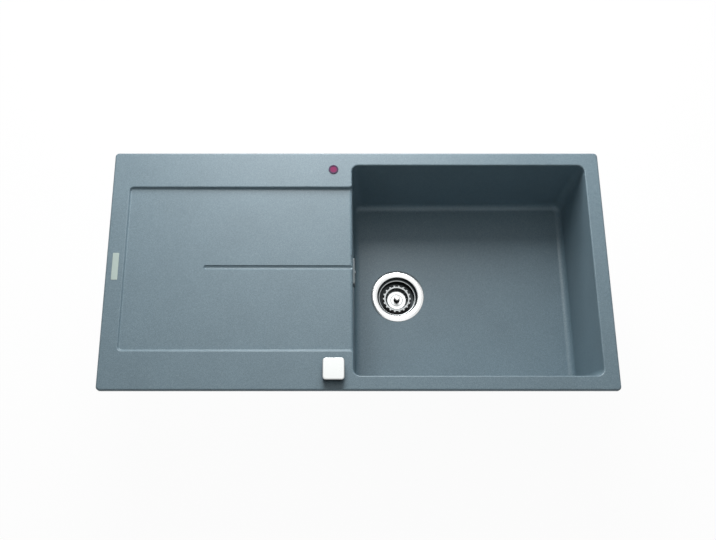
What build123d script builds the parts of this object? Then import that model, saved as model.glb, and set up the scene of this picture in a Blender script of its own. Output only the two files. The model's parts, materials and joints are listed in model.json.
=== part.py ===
"""Inset composite sink with one large bowl, a recessed drainer and a knob-operated basket waste.

Millimetres, +Z up, +X towards the bowl's end, +Y towards the back. The origin is the centre of the
rim's seat plane, which is the worktop's upper surface.
"""

import os
from math import cos, degrees, pi, radians, sin, tan

from build123d import *

os.makedirs("parts", exist_ok=True)

# ---------------------------------------------------------------- driving dimensions: the moulding
sink_length = 1000.0
sink_width = 500.0
sink_corner_radius = 8.0
rim_height = 8.0
rim_edge_radius = 3.5
wall = 8.0
draft = 2.2
front_draft = 5.6

bowl_length = 479.5
bowl_end_margin = 30.0
bowl_side_margin = 28.5
bowl_depth = 194.5
bowl_corner_radius = 14.0
bowl_foot_corner_radius = 20.0
bowl_foot_radius = 14.0
bowl_fall = 0.36
lip_radius = 2.8

recess_end_margin = 35.5
recess_side_margin = 77.5
recess_depth_far = 5.0
recess_depth_bowl = 7.0
recess_corner_radius = 8.0
recess_wall_run = 2.0
recess_foot_radius = 3.5
recess_lip_radius = 6.0

groove_length = 297.5
groove_width = 9.5
groove_depth = 3.0

cutout_overlap = 10.0
stiffener_width = 4.0
stiffener_depth = 10.0
stiffener_inset = 6.5
cross_rib_depth = 12.0
cross_rib_count = 4
long_rib_count = 3

plate_length = 57.0
plate_width = 12.6
plate_thickness = 0.8
plate_pocket_depth = 0.4
plate_end_margin = 18.5
plate_play = 0.4
plate_corner_radius = 1.0

tap_hole_radius = 17.5
tap_hole_skin = 3.0
tap_hole_edge_distance = 38.0
marker_radius = 10.0
marker_thickness = 1.2
marker_ring_width = 2.4
marker_dish = 0.5

seal_width = 5.0
seal_thickness = 1.6
seal_edge_distance = 1.8

# ---------------------------------------------------------------- driving dimensions: the clamps
clip_long_count = 5
clip_left_margin = 95.0
clip_right_margin = 65.0
clip_end_margin = 130.0
clip_end_inset = 6.0
boss_radius = 5.5
boss_height = 14.0
dowel_radius = 3.5
dowel_length = 12.0
bar_length = 55.0
bar_width = 9.0
bar_thickness = 2.5
bar_claw_height = 3.5
clip_screw_radius = 2.0
clip_screw_head_radius = 3.8
clip_screw_head_height = 2.6
clip_screw_length = 12.0
driver_slot_width = 1.0

# ---------------------------------------------------------------- driving dimensions: the waste
waste_wall_distance = 101.5
flange_radius = 57.0
flange_height = 2.2
flange_proud = 1.2
flange_edge_drop = 1.3
flange_crown_inset = 4.5
mouth_roll = 2.0
flange_gasket_thickness = 1.0
flange_gasket_radius = 56.0
cup_mouth_radius = 42.3
cup_thread_radius = 44.0
cup_ledge_depth = 13.0
cup_ledge_slope = 1.0
cup_wall_taper = 0.3
cup_inner_radius = 38.5
cup_outer_radius = 40.0
cup_thread_depth = 23.5
cup_seat_depth = 33.0
cup_seat_rise = 1.5
cup_bottom_depth = 40.0
cup_sheet = 1.5
seat_hole_radius = 28.0
floor_hole_gap = 1.0
floor_pad_radius = 62.0
floor_pad_extra = 1.5

ring_nut_radius = 53.0
ring_nut_height = 9.0
ring_nut_lug = 4.0
ring_nut_lug_width = 9.0
ring_nut_lug_count = 8
ring_nut_flange_width = 2.0
ring_nut_flange_height = 2.0
body_gasket_thickness = 2.0

body_collar_drop = 0.5
body_wall = 3.5
body_depth = 76.0
body_cone_height = 8.0
body_ring_width = 2.2
body_ring_height = 3.0
body_rim_extra = 1.5
body_rim_height = 9.0
outlet_shoulder = 3.0
guide_arm_root = 1.0
outlet_thread_radius = 23.9
outlet_bore_radius = 20.5
outlet_length = 24.0

inlet_depth = 54.0
inlet_reach = 22.0
inlet_collar_length = 2.5
inlet_collar_radius = 15.0

# ---------------------------------------------------------------- driving dimensions: basket and lift
basket_tip_radius = 30.5
basket_root_radius = 27.8
basket_mouth_radius = 25.0
basket_floor_radius = 20.5
basket_rim_depth = 18.8
basket_floor_depth = 30.0
basket_sheet = 1.0
basket_tooth_count = 18
basket_tooth_width = 3.4
basket_slot_width = 4.2
basket_slot_height = 7.0
basket_bead_radius = 13.0
basket_bead_height = 0.6
basket_knob_radius = 5.75
basket_knob_stem_radius = 3.0
basket_knob_height = 19.0
basket_knob_head = 4.0
basket_knob_foot_radius = 6.9
basket_knob_foot_height = 2.5
basket_knob_waist_height = 5.5
basket_knob_waist_radius = 3.9
basket_knob_grip_height = 2.8
basket_slot_lift = 1.0
basket_tooth_root = 1.0
basket_seal_radius = 31.5
basket_seal_thickness = 1.6
basket_seal_lip = 1.2
basket_stem_wall = 2.2
basket_stem_length = 14.0
basket_stem_roof = 5.0
loose_gap = 0.3
running_gap = 0.05

lift_height = 8.0
lever_half_swing = 15.0
lift_pin_radius = 4.0
lift_pin_length = 32.0
lift_pin_collar_radius = 5.2
lift_pin_collar_height = 2.0
lift_pin_collar_lift = 2.5
guide_radius = 8.0
guide_height = 8.0
guide_arm_width = 3.0
guide_arm_height = 6.0
guide_arm_count = 3
guide_clearance = 1.0
finger_tip_radius = 3.0
finger_half_thickness = 2.0
finger_hub_radius = 5.0
finger_width = 8.0
shaft_radius = 3.5
shaft_boss_radius = 9.0
shaft_boss_reach = 50.0
gland_radius = 8.0
gland_height = 6.0
shaft_ring_width = 2.0
shaft_ring_length = 2.5
crank_radius = 22.0
crank_thickness = 6.0
crank_hub_radius = 7.0
crank_slit = 2.4
crank_gap = 1.0
crank_nipple_play = 0.8
crank_eye_wall = 3.0
nipple_radius = 2.5
crank_screw_head_radius = 4.5
crank_screw_head_height = 2.5
crank_screw_radius = 1.6
crank_screw_length = 9.0

# ---------------------------------------------------------------- driving dimensions: the control
knob_side = 42.0
knob_corner_radius = 6.0
knob_height = 15.0
knob_edge_radius = 2.0
knob_lift = 5.0
knob_shell = 2.5
knob_boss_radius = 7.5
knob_edge_distance = 38.0
grub_screw_radius = 1.5
bush_flange_radius = 17.0
bush_flange_height = 3.0
bush_sleeve_radius = 10.5
bush_sleeve_length = 26.0
bush_gasket_thickness = 1.0
spindle_radius = 4.0
back_nut_across_flats = 30.0
back_nut_height = 6.0
back_washer_radius = 17.0
back_washer_thickness = 1.5
housing_radius = 18.5
housing_wall = 2.5
housing_height = 20.0
housing_collar_wall = 3.0
housing_lid_thickness = 2.0
housing_spout_radius = 5.0
housing_spout_length = 10.0
drum_flange_radius = 10.5
drum_height = 12.0
drum_groove_height = 4.0
drum_end_gap = 2.0
drum_side_gap = 1.0
lid_screw_count = 3
lid_screw_radius = 1.25
lid_screw_head_radius = 2.4
lid_screw_head_height = 1.4
lid_screw_length = 7.0
lid_screw_boss_wall = 1.6
lid_screw_inset = 0.6
spindle_hole_gap = 1.0
knob_boss_recess = 1.0
knob_gasket_inset = 1.0

sheath_radius = 2.5
core_radius = 0.75
ferrule_radius = 3.4
ferrule_length = 12.0
adjuster_radius = 3.0
adjuster_length = 30.0
adjuster_nut_flats = 10.0
adjuster_nut_height = 4.0
bracket_thickness = 4.0
bracket_place = -32.0
bracket_top_depth = 55.0
bracket_margin = 9.0
core_hidden_length = 14.0
adjuster_nose = 3.0
core_wrap = 200.0
drum_nipple_radius = 1.6

# ---------------------------------------------------------------- driving dimensions: the overflow
overflow_depth = 40.0
overflow_slot_length = 44.0
overflow_slot_height = 12.0
cover_length = 57.0
cover_height = 24.0
cover_stand = 4.0
cover_sheet = 1.2
cover_corner_radius = 4.0
overflow_gasket_thickness = 2.0
overflow_gasket_margin = 5.0
elbow_flange_thickness = 3.0
elbow_flange_margin = 11.0
elbow_depth = 28.0
elbow_wall = 2.5
elbow_collar_radius = 13.0
elbow_collar_bottom_depth = 59.0
elbow_spigot_length = 22.0
elbow_drop = 3.0
elbow_spigot_inset = 2.0
spigot_radius = 10.5
spigot_wall = 2.0
overflow_screw_radius = 2.0
overflow_screw_head_radius = 4.0
overflow_screw_head_height = 1.6
hose_root_radius = 12.2
hose_crest_radius = 14.2
hose_pitch = 7.0
hose_bend_radius = 50.0
hose_cuff_length = 24.0
clamp_band_width = 8.0
clamp_band_thickness = 0.9
clamp_lug_size = 7.0

# ---------------------------------------------------------------- places worked out from the above
deck_z = rim_height
bowl_right = sink_length / 2 - bowl_end_margin
bowl_left = bowl_right - bowl_length
bowl_middle_x = (bowl_left + bowl_right) / 2
bowl_width = sink_width - 2 * bowl_side_margin
draft_slope = tan(radians(draft))
front_slope = tan(radians(front_draft))
waste_x = bowl_left + waste_wall_distance
floor_z = deck_z - bowl_depth
floor_plane = Plane(
    origin=(waste_x, 0, floor_z),
    x_dir=(cos(radians(bowl_fall)), 0, sin(radians(bowl_fall))),
    z_dir=(-sin(radians(bowl_fall)), 0, cos(radians(bowl_fall))),
)
recess_left = recess_end_margin - sink_length / 2
recess_length = bowl_left - recess_left
recess_width = sink_width - 2 * recess_side_margin
recess_tilt = (recess_depth_bowl - recess_depth_far) / recess_length
recess_plane = Plane(
    origin=(bowl_left, 0, deck_z - recess_depth_bowl),
    x_dir=(1, 0, -recess_tilt),
    z_dir=(recess_tilt, 0, 1),
)
control_x = bowl_left - tap_hole_edge_distance
tap_hole_y = sink_width / 2 - tap_hole_edge_distance
control_y = knob_edge_distance - sink_width / 2

flange_z = floor_z + flange_proud
waste_axis = Axis((waste_x, 0, 0), (0, 0, 1))
waste_section = Plane(origin=(waste_x, 0, flange_z), x_dir=(1, 0, 0), z_dir=(0, -1, 0))
waste_plane = Plane(origin=(waste_x, 0, flange_z))
flange_seat_depth = flange_height + flange_gasket_thickness
floor_hole_radius = cup_thread_radius + floor_hole_gap
floor_pad_z = floor_z - wall - floor_pad_extra
ring_nut_top = floor_pad_z - body_gasket_thickness
body_top_depth = cup_thread_depth + body_collar_drop
body_inner_radius = cup_outer_radius
body_outer_radius = body_inner_radius + body_wall
outlet_top_depth = body_depth + body_cone_height
inlet_z = flange_z - inlet_depth

pin_top_depth = basket_floor_depth + basket_sheet + basket_stem_roof
pin_foot_z = flange_z - pin_top_depth - lift_pin_length
pin_collar_top = pin_foot_z + lift_pin_collar_lift + lift_pin_collar_height
guide_top_depth = flange_z - pin_collar_top - lift_height - guide_clearance - guide_height
finger_radius = lift_height / 2 / sin(radians(lever_half_swing))
lever_x = waste_x + finger_radius
lever_z = pin_foot_z - loose_gap - finger_tip_radius + lift_height / 2
crank_front_y = -(shaft_boss_reach + gland_height + crank_gap)
crank_back_y = crank_front_y - crank_thickness
core_y = (crank_front_y + crank_back_y) / 2
core_z = lever_z - crank_radius * cos(radians(lever_half_swing))
core_end_x = lever_x + crank_radius * sin(radians(lever_half_swing))
core_travel = 2 * crank_radius * sin(radians(lever_half_swing))
knob_turn = 90.0
core_wrap_radius = core_travel / radians(knob_turn)
bracket_x = waste_x + bracket_place
adjuster_start_x = bracket_x - adjuster_length / 2 - bracket_thickness / 2
bracket_root_y = -(((body_inner_radius + body_wall / 2) ** 2 - bracket_place**2) ** 0.5)

clip_y = sink_width / 2 - cutout_overlap - stiffener_inset
clip_x = sink_length / 2 - cutout_overlap - clip_end_inset
clip_first_x = clip_left_margin - sink_length / 2
clip_long_spacing = (sink_length - clip_left_margin - clip_right_margin) / (clip_long_count - 1)
clip_end_y = sink_width / 2 - clip_end_margin
long_places = [
    Location((clip_first_x + i * clip_long_spacing, side * clip_y, 0))
    for i in range(clip_long_count)
    for side in (-1, 1)
]
end_places = [
    Location((end * clip_x, side * clip_end_y, 0), (0, 0, 90))
    for end in (-1, 1)
    for side in (-1, 1)
]
clip_places = long_places + end_places


def moved(places, height):
    """The same places, lifted to one height."""
    return [Location((0, 0, height)) * place for place in places]


# ---------------------------------------------------------------- the moulding
def bowl_block(grow, above):
    """The bowl's drafted block, grown outwards by one wall, closed by its sloping floor."""
    drop = bowl_depth + 3 * wall
    foot_length = bowl_length - 2 * drop * draft_slope
    foot_width = bowl_width - drop * (draft_slope + front_slope)
    foot_middle_y = drop * (front_slope - draft_slope) / 2
    foot = floor_plane.offset(-grow)
    with BuildPart() as block:
        with BuildSketch(Plane.XY.offset(deck_z)):
            with Locations((bowl_middle_x, 0)):
                RectangleRounded(bowl_length + 2 * grow, bowl_width + 2 * grow, bowl_corner_radius + grow)
        with BuildSketch(Plane.XY.offset(deck_z - drop)):
            with Locations((bowl_middle_x, foot_middle_y)):
                RectangleRounded(
                    foot_length + 2 * grow, foot_width + 2 * grow, bowl_foot_corner_radius + grow
                )
        loft(ruled=True)
        split(bisect_by=foot, keep=Keep.TOP)
        fillet(block.faces().sort_by(Axis.Z)[0].edges(), bowl_foot_radius + grow)
        if above:
            extrude(block.faces().sort_by(Axis.Z)[-1], amount=above)
        else:
            split(bisect_by=Plane.XY.offset(deck_z - rim_height / 2), keep=Keep.BOTTOM)
    return block.part


recess_reach = 4 * wall
with BuildPart() as recess_block:
    with BuildSketch(Plane.XY.offset(deck_z)):
        with Locations((recess_left + (recess_length + recess_reach) / 2, 0)):
            RectangleRounded(recess_length + recess_reach, recess_width, recess_corner_radius)
    extrude(amount=-rim_height, taper=degrees(recess_wall_run / recess_depth_bowl))
    split(bisect_by=recess_plane, keep=Keep.TOP)
    fillet(recess_block.faces().sort_by(Axis.Z)[0].edges(), recess_foot_radius)
    extrude(recess_block.faces().sort_by(Axis.Z)[-1], amount=rim_height)

groove_bulge = (groove_width**2 / 4 + groove_depth**2) / (2 * groove_depth)
groove_axis_lift = groove_bulge - groove_depth
with BuildPart() as groove_block:
    with BuildSketch(Plane(recess_plane.origin, x_dir=(0, 1, 0), z_dir=recess_plane.x_dir)):
        with Locations((0, groove_axis_lift)):
            Circle(groove_bulge)
    extrude(amount=-(groove_length - groove_width / 2))
    with Locations(recess_plane * Location((-(groove_length - groove_width / 2), 0, groove_axis_lift))):
        Sphere(groove_bulge)
    extrude(groove_block.faces().sort_by(Axis.X)[-1], amount=recess_reach / 2)

frame_half_length = clip_x + stiffener_width / 2
frame_half_width = clip_y + stiffener_width / 2
frame_length = frame_half_length + bowl_left
cross_rib_spacing = frame_length / (cross_rib_count + 1)
long_rib_spacing = 2 * frame_half_width / (long_rib_count + 1)
pad_depth = wall - rim_height + recess_depth_bowl

with BuildPart() as sink_body:
    with BuildSketch():
        RectangleRounded(sink_length, sink_width, sink_corner_radius)
    extrude(amount=rim_height)
    fillet(sink_body.faces().sort_by(Axis.Z)[-1].edges(), rim_edge_radius)
    add(bowl_block(wall, 0))
    # the pad under the lowered drainer keeps the wall's thickness
    with BuildSketch():
        with Locations((recess_left - wall, 0)):
            Rectangle(recess_length + wall, recess_width + 2 * wall, align=(Align.MIN, Align.CENTER))
    extrude(amount=-pad_depth)
    # stiffening frame and ribs under the drainer
    with BuildSketch():
        with Locations((bowl_left - frame_length / 2, 0)):
            Rectangle(frame_length, 2 * frame_half_width)
            Rectangle(
                frame_length - 2 * stiffener_width,
                2 * (frame_half_width - stiffener_width),
                mode=Mode.SUBTRACT,
            )
    extrude(amount=-stiffener_depth)
    with BuildSketch():
        with Locations((bowl_left - frame_length / 2, 0)):
            with GridLocations(cross_rib_spacing, 0, cross_rib_count, 1):
                Rectangle(stiffener_width, 2 * frame_half_width - stiffener_width)
            with GridLocations(0, long_rib_spacing, 1, long_rib_count):
                Rectangle(frame_length - stiffener_width, stiffener_width)
    extrude(amount=-cross_rib_depth)
    # bosses for the clamps, and the flat pad round the waste hole
    with BuildSketch():
        with Locations(*clip_places):
            Circle(boss_radius)
    extrude(amount=-boss_height)
    with BuildSketch(Plane(origin=(waste_x, 0, floor_pad_z))):
        Circle(floor_pad_radius)
    extrude(amount=floor_pad_extra + wall / 2)
    # the hollows
    add(bowl_block(0, rim_height), mode=Mode.SUBTRACT)
    add(recess_block.part, mode=Mode.SUBTRACT)
    near_deck = recess_depth_far / 12
    recess_mouth = sink_body.edges().filter_by(
        lambda edge: abs(edge.center().X - bowl_left) < wall / 4
        and 0 < edge.center().Z < deck_z - near_deck
        and abs(edge.center().Y) < recess_width / 2
    )
    fillet(recess_mouth, recess_lip_radius)
    fillet(sink_body.faces().sort_by(Axis.Z)[-1].inner_wires()[0].edges(), lip_radius)
    add(groove_block.part, mode=Mode.SUBTRACT)
    # waste hole with the flange's seat
    with Locations((waste_x, 0, floor_z)):
        Cylinder(floor_hole_radius, 4 * wall, mode=Mode.SUBTRACT)
        with Locations((0, 0, flange_proud - flange_seat_depth)):
            Cylinder(
                flange_radius + floor_hole_gap,
                wall,
                align=(Align.CENTER, Align.CENTER, Align.MIN),
                mode=Mode.SUBTRACT,
            )
    # overflow slot through the bowl's left wall
    overflow_plane = Plane(origin=(bowl_left, 0, deck_z - overflow_depth), x_dir=(0, 1, 0), z_dir=(-1, 0, 0))
    with BuildSketch(overflow_plane):
        SlotOverall(overflow_slot_length, overflow_slot_height)
    extrude(amount=2 * wall, both=True, mode=Mode.SUBTRACT)
    # control hole, blind tap hole from below, plate pocket, dowel holes and seal groove
    with Locations((control_x, control_y, 0)):
        Cylinder(bush_sleeve_radius + floor_hole_gap / 2, 4 * wall, mode=Mode.SUBTRACT)
    with Locations((control_x, tap_hole_y, 0)):
        Cylinder(
            tap_hole_radius,
            rim_height - tap_hole_skin,
            align=(Align.CENTER, Align.CENTER, Align.MIN),
            mode=Mode.SUBTRACT,
        )
    with BuildSketch(Plane.XY.offset(deck_z)):
        with Locations((plate_end_margin - sink_length / 2, 0)):
            RectangleRounded(plate_width + plate_play, plate_length + plate_play, plate_corner_radius)
    extrude(amount=-plate_pocket_depth, mode=Mode.SUBTRACT)
    with BuildSketch(Plane.XY.offset(-boss_height)):
        with Locations(*clip_places):
            Circle(dowel_radius)
    extrude(amount=dowel_length, mode=Mode.SUBTRACT)
    with BuildSketch():
        RectangleRounded(
            sink_length - 2 * seal_edge_distance, sink_width - 2 * seal_edge_distance, sink_corner_radius
        )
        RectangleRounded(
            sink_length - 2 * (seal_edge_distance + seal_width),
            sink_width - 2 * (seal_edge_distance + seal_width),
            sink_corner_radius / 2,
            mode=Mode.SUBTRACT,
        )
    extrude(amount=seal_thickness, mode=Mode.SUBTRACT)
sink_body.part.label = "sink_body"
export_step(sink_body.part, "parts/sink_body.step")

with BuildPart() as rim_seal:
    with BuildSketch():
        RectangleRounded(
            sink_length - 2 * seal_edge_distance, sink_width - 2 * seal_edge_distance, sink_corner_radius
        )
        RectangleRounded(
            sink_length - 2 * (seal_edge_distance + seal_width),
            sink_width - 2 * (seal_edge_distance + seal_width),
            sink_corner_radius / 2,
            mode=Mode.SUBTRACT,
        )
    extrude(amount=seal_thickness)
rim_seal.part.label = "rim_seal"
export_step(rim_seal.part, "parts/rim_seal.step")

with BuildPart() as rim_plate:
    with BuildSketch(Plane.XY.offset(deck_z - plate_pocket_depth)):
        with Locations((plate_end_margin - sink_length / 2, 0)):
            RectangleRounded(plate_width, plate_length, plate_corner_radius)
    extrude(amount=plate_thickness)
    chamfer(rim_plate.faces().sort_by(Axis.Z)[-1].edges(), plate_thickness / 4)
rim_plate.part.label = "rim_plate"
export_step(rim_plate.part, "parts/rim_plate.step")

with BuildPart() as tap_hole_marker:
    with Locations((control_x, tap_hole_y, deck_z)):
        Cylinder(marker_radius, marker_thickness, align=(Align.CENTER, Align.CENTER, Align.MIN))
    chamfer(tap_hole_marker.faces().sort_by(Axis.Z)[-1].edges(), marker_thickness / 3)
    with Locations((control_x, tap_hole_y, deck_z + marker_thickness)):
        Cylinder(marker_radius - marker_ring_width, 2 * marker_dish, mode=Mode.SUBTRACT)
tap_hole_marker.part.label = "tap_hole_marker"
export_step(tap_hole_marker.part, "parts/tap_hole_marker.step")

# ---------------------------------------------------------------- the clamps
with BuildPart() as clamp_dowels:
    with BuildSketch(Plane.XY.offset(-boss_height)):
        with Locations(*clip_places):
            Circle(dowel_radius)
            Circle(clip_screw_radius, mode=Mode.SUBTRACT)
    extrude(amount=dowel_length)
clamp_dowels.part.label = "clamp_dowels"
export_step(clamp_dowels.part, "parts/clamp_dowels.step")

bar_claw_place = (bar_length - bar_thickness) / 2
with BuildPart() as clamp_bars:
    with BuildSketch(Plane.XY.offset(-boss_height)):
        with Locations(*clip_places):
            Rectangle(bar_length, bar_width)
            Circle(clip_screw_radius + loose_gap, mode=Mode.SUBTRACT)
    extrude(amount=-bar_thickness)
    # the claws turned up at both ends
    with BuildSketch(Plane.XY.offset(-boss_height)):
        with Locations(*clip_places):
            with Locations((-bar_claw_place, 0), (bar_claw_place, 0)):
                Rectangle(bar_thickness, bar_width)
    extrude(amount=bar_claw_height)
clamp_bars.part.label = "clamp_bars"
export_step(clamp_bars.part, "parts/clamp_bars.step")

clip_head_z = -boss_height - bar_thickness
with BuildPart() as clamp_screws:
    with Locations(*moved(clip_places, clip_head_z)):
        Cylinder(
            clip_screw_head_radius, clip_screw_head_height, align=(Align.CENTER, Align.CENTER, Align.MAX)
        )
        Cylinder(clip_screw_radius, clip_screw_length, align=(Align.CENTER, Align.CENTER, Align.MIN))
    with Locations(*moved(clip_places, clip_head_z - clip_screw_head_height)):
        Box(3 * clip_screw_head_radius, driver_slot_width, clip_screw_head_height, mode=Mode.SUBTRACT)
clamp_screws.part.label = "clamp_screws"
export_step(clamp_screws.part, "parts/clamp_screws.step")

# ---------------------------------------------------------------- the waste
with BuildPart() as waste_flange:
    with BuildSketch(waste_section):
        with BuildLine():
            l1 = Polyline(
                (cup_thread_radius, -flange_height),
                (flange_radius, -flange_height),
                (flange_radius, -flange_edge_drop),
            )
            l2 = ThreePointArc(
                l1 @ 1,
                (flange_radius - flange_crown_inset, 0),
                (cup_mouth_radius + mouth_roll, -flange_edge_drop),
            )
            l3 = TangentArc(l2 @ 1, (cup_mouth_radius, -flange_edge_drop - mouth_roll), tangent=l2 % 1)
            Polyline(
                l3 @ 1,
                (cup_mouth_radius - cup_wall_taper, cup_ledge_slope - cup_ledge_depth),
                (cup_inner_radius, -cup_ledge_depth),
                (cup_inner_radius, -cup_seat_depth),
                (seat_hole_radius, -cup_seat_depth - cup_seat_rise),
                (seat_hole_radius, -cup_bottom_depth),
                (seat_hole_radius + cup_sheet, -cup_bottom_depth),
                (seat_hole_radius + cup_sheet, -cup_seat_depth - cup_seat_rise - cup_sheet),
                (cup_outer_radius, -cup_seat_depth - cup_sheet),
                (cup_outer_radius, -cup_thread_depth),
                (cup_thread_radius, -cup_thread_depth),
                l1 @ 0,
            )
        make_face()
    revolve(axis=waste_axis)
waste_flange.part.label = "waste_flange"
export_step(waste_flange.part, "parts/waste_flange.step")

with BuildPart() as waste_flange_gasket:
    with BuildSketch(waste_plane.offset(-flange_seat_depth)):
        Circle(flange_gasket_radius)
        Circle(floor_hole_radius, mode=Mode.SUBTRACT)
    extrude(amount=flange_gasket_thickness)
waste_flange_gasket.part.label = "waste_flange_gasket"
export_step(waste_flange_gasket.part, "parts/waste_flange_gasket.step")

with BuildPart() as waste_body_gasket:
    with BuildSketch(Plane(origin=(waste_x, 0, ring_nut_top))):
        Circle(ring_nut_radius + ring_nut_flange_width)
        Circle(cup_thread_radius, mode=Mode.SUBTRACT)
    extrude(amount=body_gasket_thickness)
waste_body_gasket.part.label = "waste_body_gasket"
export_step(waste_body_gasket.part, "parts/waste_body_gasket.step")

with BuildPart() as waste_ring_nut:
    with BuildSketch(Plane(origin=(waste_x, 0, ring_nut_top))):
        Circle(ring_nut_radius)
        with PolarLocations(ring_nut_radius, ring_nut_lug_count):
            Rectangle(2 * ring_nut_lug, ring_nut_lug_width)
        Circle(cup_thread_radius, mode=Mode.SUBTRACT)
    extrude(amount=-ring_nut_height)
    with BuildSketch(Plane(origin=(waste_x, 0, ring_nut_top))):
        Circle(ring_nut_radius + ring_nut_flange_width)
        Circle(cup_thread_radius, mode=Mode.SUBTRACT)
    extrude(amount=-ring_nut_flange_height)
waste_ring_nut.part.label = "waste_ring_nut"
export_step(waste_ring_nut.part, "parts/waste_ring_nut.step")

with BuildPart() as waste_body:
    with BuildSketch(waste_section):
        with BuildLine():
            Polyline(
                (body_inner_radius + body_ring_width, -body_top_depth),
                (body_outer_radius + body_rim_extra, -body_top_depth),
                (body_outer_radius + body_rim_extra, -body_top_depth - body_rim_height),
                (body_outer_radius, -body_top_depth - body_rim_height - body_rim_extra),
                (body_outer_radius, -body_depth),
                (outlet_thread_radius + outlet_shoulder, -outlet_top_depth),
                (outlet_thread_radius, -outlet_top_depth),
                (outlet_thread_radius, -outlet_top_depth - outlet_length),
                (outlet_bore_radius, -outlet_top_depth - outlet_length),
                (outlet_bore_radius, -outlet_top_depth + body_wall),
                (body_inner_radius, -body_depth + body_wall / 2),
                (body_inner_radius, -body_top_depth - body_ring_height),
                (body_inner_radius + body_ring_width, -body_top_depth - body_ring_height),
                close=True,
            )
        make_face()
    revolve(axis=waste_axis)
    # overflow inlet with its collar
    with BuildSketch(Plane(origin=(waste_x, 0, inlet_z), x_dir=(0, 1, 0), z_dir=(-1, 0, 0))):
        Circle(inlet_collar_radius)
    extrude(amount=body_outer_radius + inlet_collar_length)
    with BuildSketch(Plane(origin=(waste_x, 0, inlet_z), x_dir=(0, 1, 0), z_dir=(-1, 0, 0))):
        Circle(spigot_radius)
    extrude(amount=body_outer_radius + inlet_collar_length + inlet_reach)
    # shaft boss
    with BuildSketch(Plane(origin=(lever_x, 0, lever_z), x_dir=(1, 0, 0), z_dir=(0, -1, 0))):
        Circle(shaft_boss_radius)
    extrude(amount=shaft_boss_reach)
    # cable bracket, a web out of the wall
    with BuildSketch(Plane(origin=(bracket_x, 0, 0), x_dir=(0, 1, 0), z_dir=(1, 0, 0))):
        Polygon(
            (bracket_root_y, flange_z - bracket_top_depth),
            (bracket_root_y - bracket_margin, flange_z - bracket_top_depth),
            (core_y - bracket_margin, core_z + bracket_margin),
            (core_y - bracket_margin, core_z - bracket_margin),
            (core_y + bracket_margin, core_z - bracket_margin),
            (bracket_root_y, flange_z - body_depth + body_wall),
            align=None,
        )
    extrude(amount=bracket_thickness / 2, both=True)
    # the chamber, cleared again
    with BuildSketch(waste_plane.offset(-body_top_depth)):
        Circle(body_inner_radius)
    extrude(amount=-(body_depth - body_top_depth - body_wall / 2), mode=Mode.SUBTRACT)
    with BuildSketch(waste_plane.offset(-body_depth + body_wall)):
        Circle(outlet_bore_radius)
    extrude(amount=-(body_cone_height + body_wall), mode=Mode.SUBTRACT)
    with BuildSketch(Plane(origin=(waste_x, 0, inlet_z), x_dir=(0, 1, 0), z_dir=(-1, 0, 0))):
        Circle(spigot_radius - spigot_wall)
    extrude(amount=body_outer_radius + inlet_collar_length + inlet_reach, mode=Mode.SUBTRACT)
    # pin guide on three arms
    with BuildSketch(waste_plane.offset(-guide_top_depth)):
        Circle(guide_radius)
    extrude(amount=-guide_height)
    with BuildSketch(waste_plane.offset(-guide_top_depth - guide_height)):
        with PolarLocations(body_inner_radius / 2, guide_arm_count):
            Rectangle(body_inner_radius + guide_arm_root, guide_arm_width)
    extrude(amount=guide_arm_height)
    with Locations((waste_x, 0, flange_z - body_depth / 2)):
        Cylinder(lift_pin_radius + running_gap, body_depth / 1.2, mode=Mode.SUBTRACT)
    # shaft bore with the seal ring's seat, and the cable's hole
    with BuildSketch(Plane(origin=(lever_x, 0, lever_z), x_dir=(1, 0, 0), z_dir=(0, -1, 0))):
        Circle(shaft_radius + running_gap)
    extrude(amount=shaft_boss_reach + shaft_ring_length, mode=Mode.SUBTRACT)
    with BuildSketch(Plane(origin=(lever_x, -shaft_boss_reach, lever_z), x_dir=(1, 0, 0), z_dir=(0, -1, 0))):
        Circle(shaft_radius + shaft_ring_width)
    extrude(amount=-shaft_ring_length, mode=Mode.SUBTRACT)
    with BuildSketch(Plane(origin=(bracket_x, core_y, core_z), x_dir=(0, 1, 0), z_dir=(1, 0, 0))):
        Circle(adjuster_radius)
    extrude(amount=2 * bracket_thickness, both=True, mode=Mode.SUBTRACT)
waste_body.part.label = "waste_body"
export_step(waste_body.part, "parts/waste_body.step")

with BuildPart() as body_seal_ring:
    with BuildSketch(waste_plane.offset(-body_top_depth)):
        Circle(body_inner_radius + body_ring_width)
        Circle(cup_outer_radius, mode=Mode.SUBTRACT)
    extrude(amount=-body_ring_height)
body_seal_ring.part.label = "body_seal_ring"
export_step(body_seal_ring.part, "parts/body_seal_ring.step")

# ---------------------------------------------------------------- the basket


def seat_height(radius):
    """Height of the cup's conical seat at one radius, from the flange's top."""
    share = (cup_inner_radius - radius) / (cup_inner_radius - seat_hole_radius)
    return -cup_seat_depth - cup_seat_rise * share


basket_under = -basket_floor_depth - basket_sheet
basket_lip = -basket_rim_depth - basket_sheet
basket_tooth_length = basket_tip_radius - basket_root_radius + basket_tooth_root
stem_radius = lift_pin_radius + loose_gap + basket_stem_wall

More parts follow.
